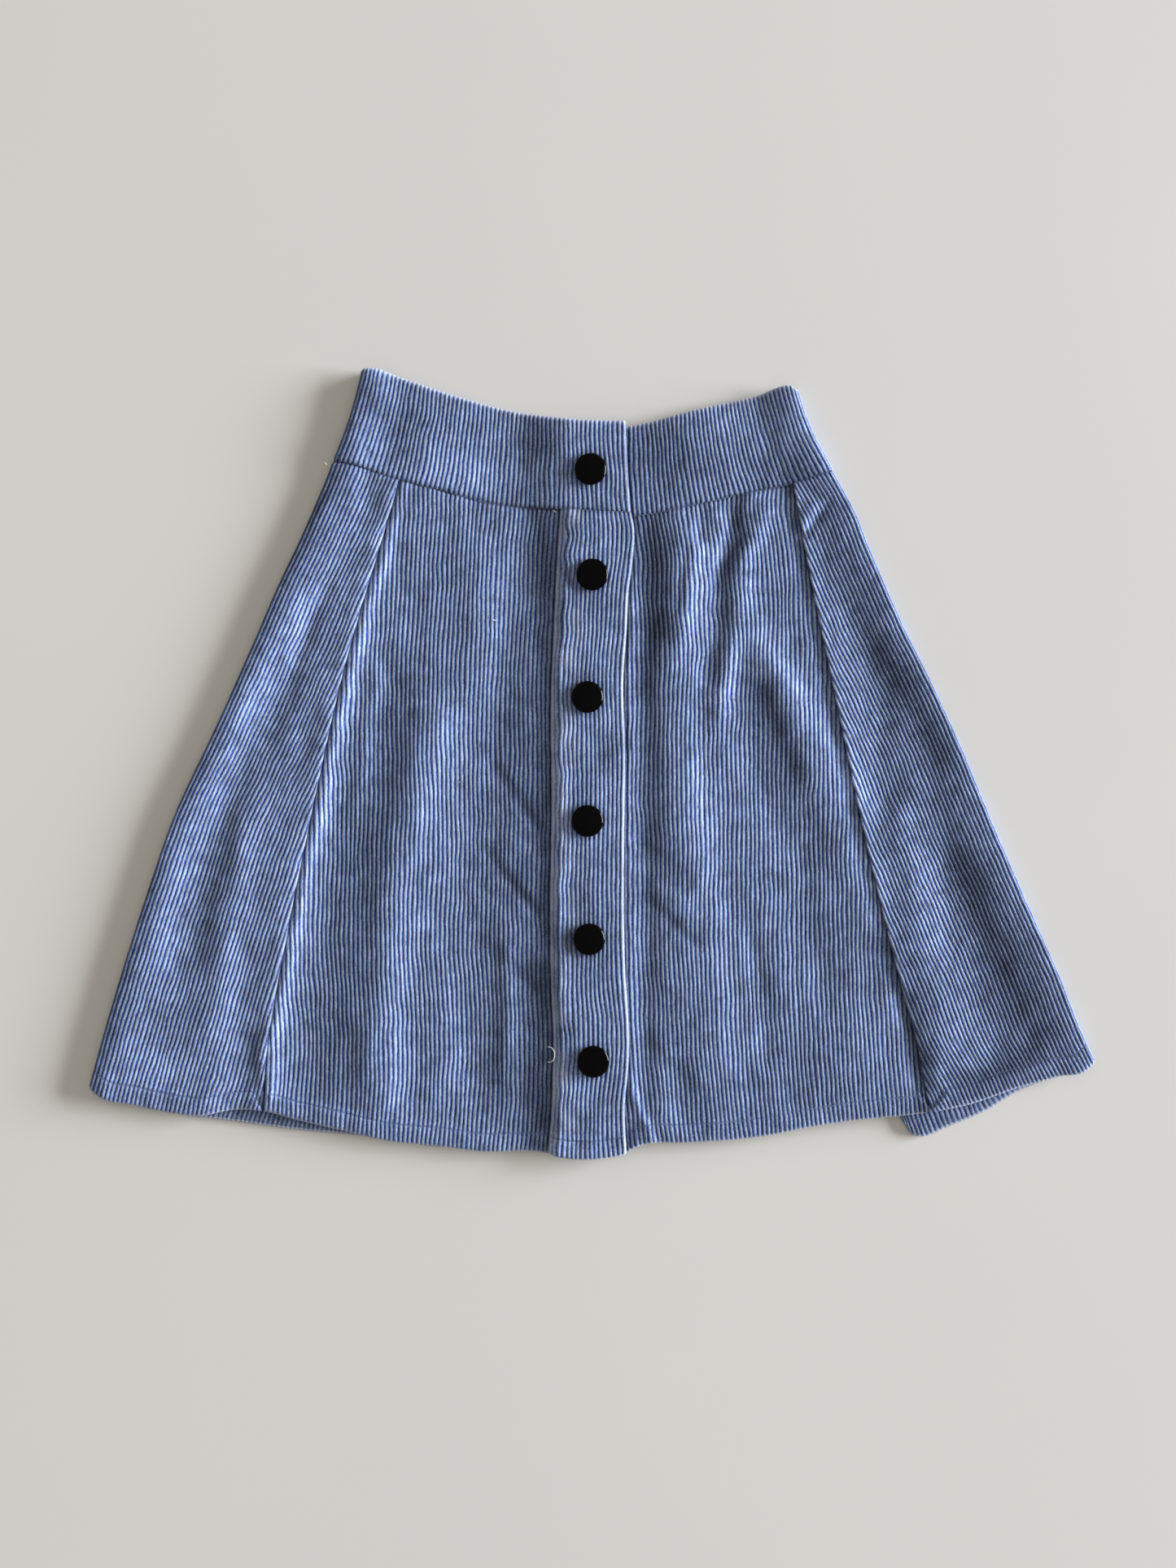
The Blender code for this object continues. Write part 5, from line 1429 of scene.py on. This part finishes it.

# %% [markdown]
# ## Which body carries what
# The skirt has one rigid body, root, and every piece rides on it. Each sheet takes the place of its CAD
# solid, which is hidden. A table lists how large each was cut before sewing, with its seam allowances
# and its turned hem, and what it rests on.

# %% Ride and replace
CUTS = {  # width and length in metres, the area where it isn't a rectangle, and what lies under it
    "front_centre_right": ((0.215, 0.475), 0.083, "back_panel"),
    "front_centre_left": ((0.235, 0.475), 0.095, "back_panel"),
    "front_side_right": ((0.135, 0.465), 0.043, "back_panel"),
    "front_side_left": ((0.140, 0.450), 0.042, "back_panel"),
    "placket": ((0.062, 0.460), None, "front_centre_left"),
    "waistband": ((0.660, 0.070), None, "floor"),
    "back_panel": ((0.715, 0.480), 0.260, "floor"),
    "back_hem": ((0.700, 0.020), None, "back_panel"),
}
SEWN_ON = {"waistband": [waist_stitches], "front_centre_right": [hem_stitches]}
for node, piece in PIECES.items():
    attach(piece, "root")
    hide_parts(node)
for piece in (hem_stitches, waist_stitches, lint, thread):
    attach(piece, "root")
for node, (size, area, below) in CUTS.items():
    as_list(SEWN_ON.get(node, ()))
print("sheets declared:", len(CUTS))

# %% [markdown]
# ## Floor
# The skirt lies on a plain pale floor of matt painted board, a warm off-white with the faintest
# cloudiness. It is only the stage, and no part of the skirt.

# %% Floor
FLOOR_HALF, FLOOR_TOP = 3.0, -0.0002  # in metres
FLOOR_CORNERS = [(-1, -1), (1, -1), (1, 1), (-1, 1)]
paint, *_ = clouded_material(
    "painted_floor", 2.2, 4.0, ("#CFD0CE", "#D5D6D3"), {"Roughness": 0.75, "Specular IOR Level": 0.2}
)
mesh = bpy.data.meshes.new("floor")
corners = [(x * FLOOR_HALF, y * FLOOR_HALF, FLOOR_TOP) for x, y in FLOOR_CORNERS]
mesh.from_pydata(corners, [], [(0, 1, 2, 3)])
mesh.materials.append(paint)
floor = new_object("floor", mesh)
print("the floor is", 2.0 * FLOOR_HALF, "m wide")

# %% [markdown]
# ## Light
# A window on the right gives a broad, low light, so folds and wales are lit from the side and a soft
# shadow falls to the left, and the room's pale walls fill in the rest.

# %% Light
ROOM_COLOUR, ROOM_STRENGTH = "#FFF5E9", 0.47
WINDOW_PLACE, WINDOW_SIZE = Vector((14.0, 2.4, 2.4)), (9.0, 3.3)
WINDOW_COLOUR, WINDOW_WATTS = "#F8FAFF", 7500.0
world = bpy.data.worlds.new("pale_room")
world.use_nodes = True
room = world.node_tree.nodes["Background"].inputs
room["Color"].default_value = linear(ROOM_COLOUR)
room["Strength"].default_value = ROOM_STRENGTH
bpy.context.scene.world = world
light = bpy.data.lights.new("window", "AREA")
light.shape, light.size, light.size_y = "RECTANGLE", *WINDOW_SIZE
light.energy, light.color = WINDOW_WATTS, linear(WINDOW_COLOUR)[:3]
window = new_object("window", light)
window.location = WINDOW_PLACE
window.rotation_euler = (-WINDOW_PLACE).to_track_quat("-Z", "Y").to_euler()  # it faces the skirt
print("the window is", round(WINDOW_PLACE.length, 1), "m away")

# %% [markdown]
# ## Camera
# The camera looks straight down, as a phone held over the floor does, from where the photograph was
# taken.

# %% Camera
CAMERA_PLACE, CAMERA_LENS, CAMERA_SENSOR = (-0.0028, -0.0141, 0.828), 26.0, 34.6
camera = new_object("camera", bpy.data.cameras.new("camera"))
camera.data.lens, camera.data.sensor_width = CAMERA_LENS, CAMERA_SENSOR
camera.location = CAMERA_PLACE
bpy.context.scene.camera = camera
bpy.context.scene.view_settings.view_transform = "Standard"
print("the camera hangs", CAMERA_PLACE[2], "m over the floor")
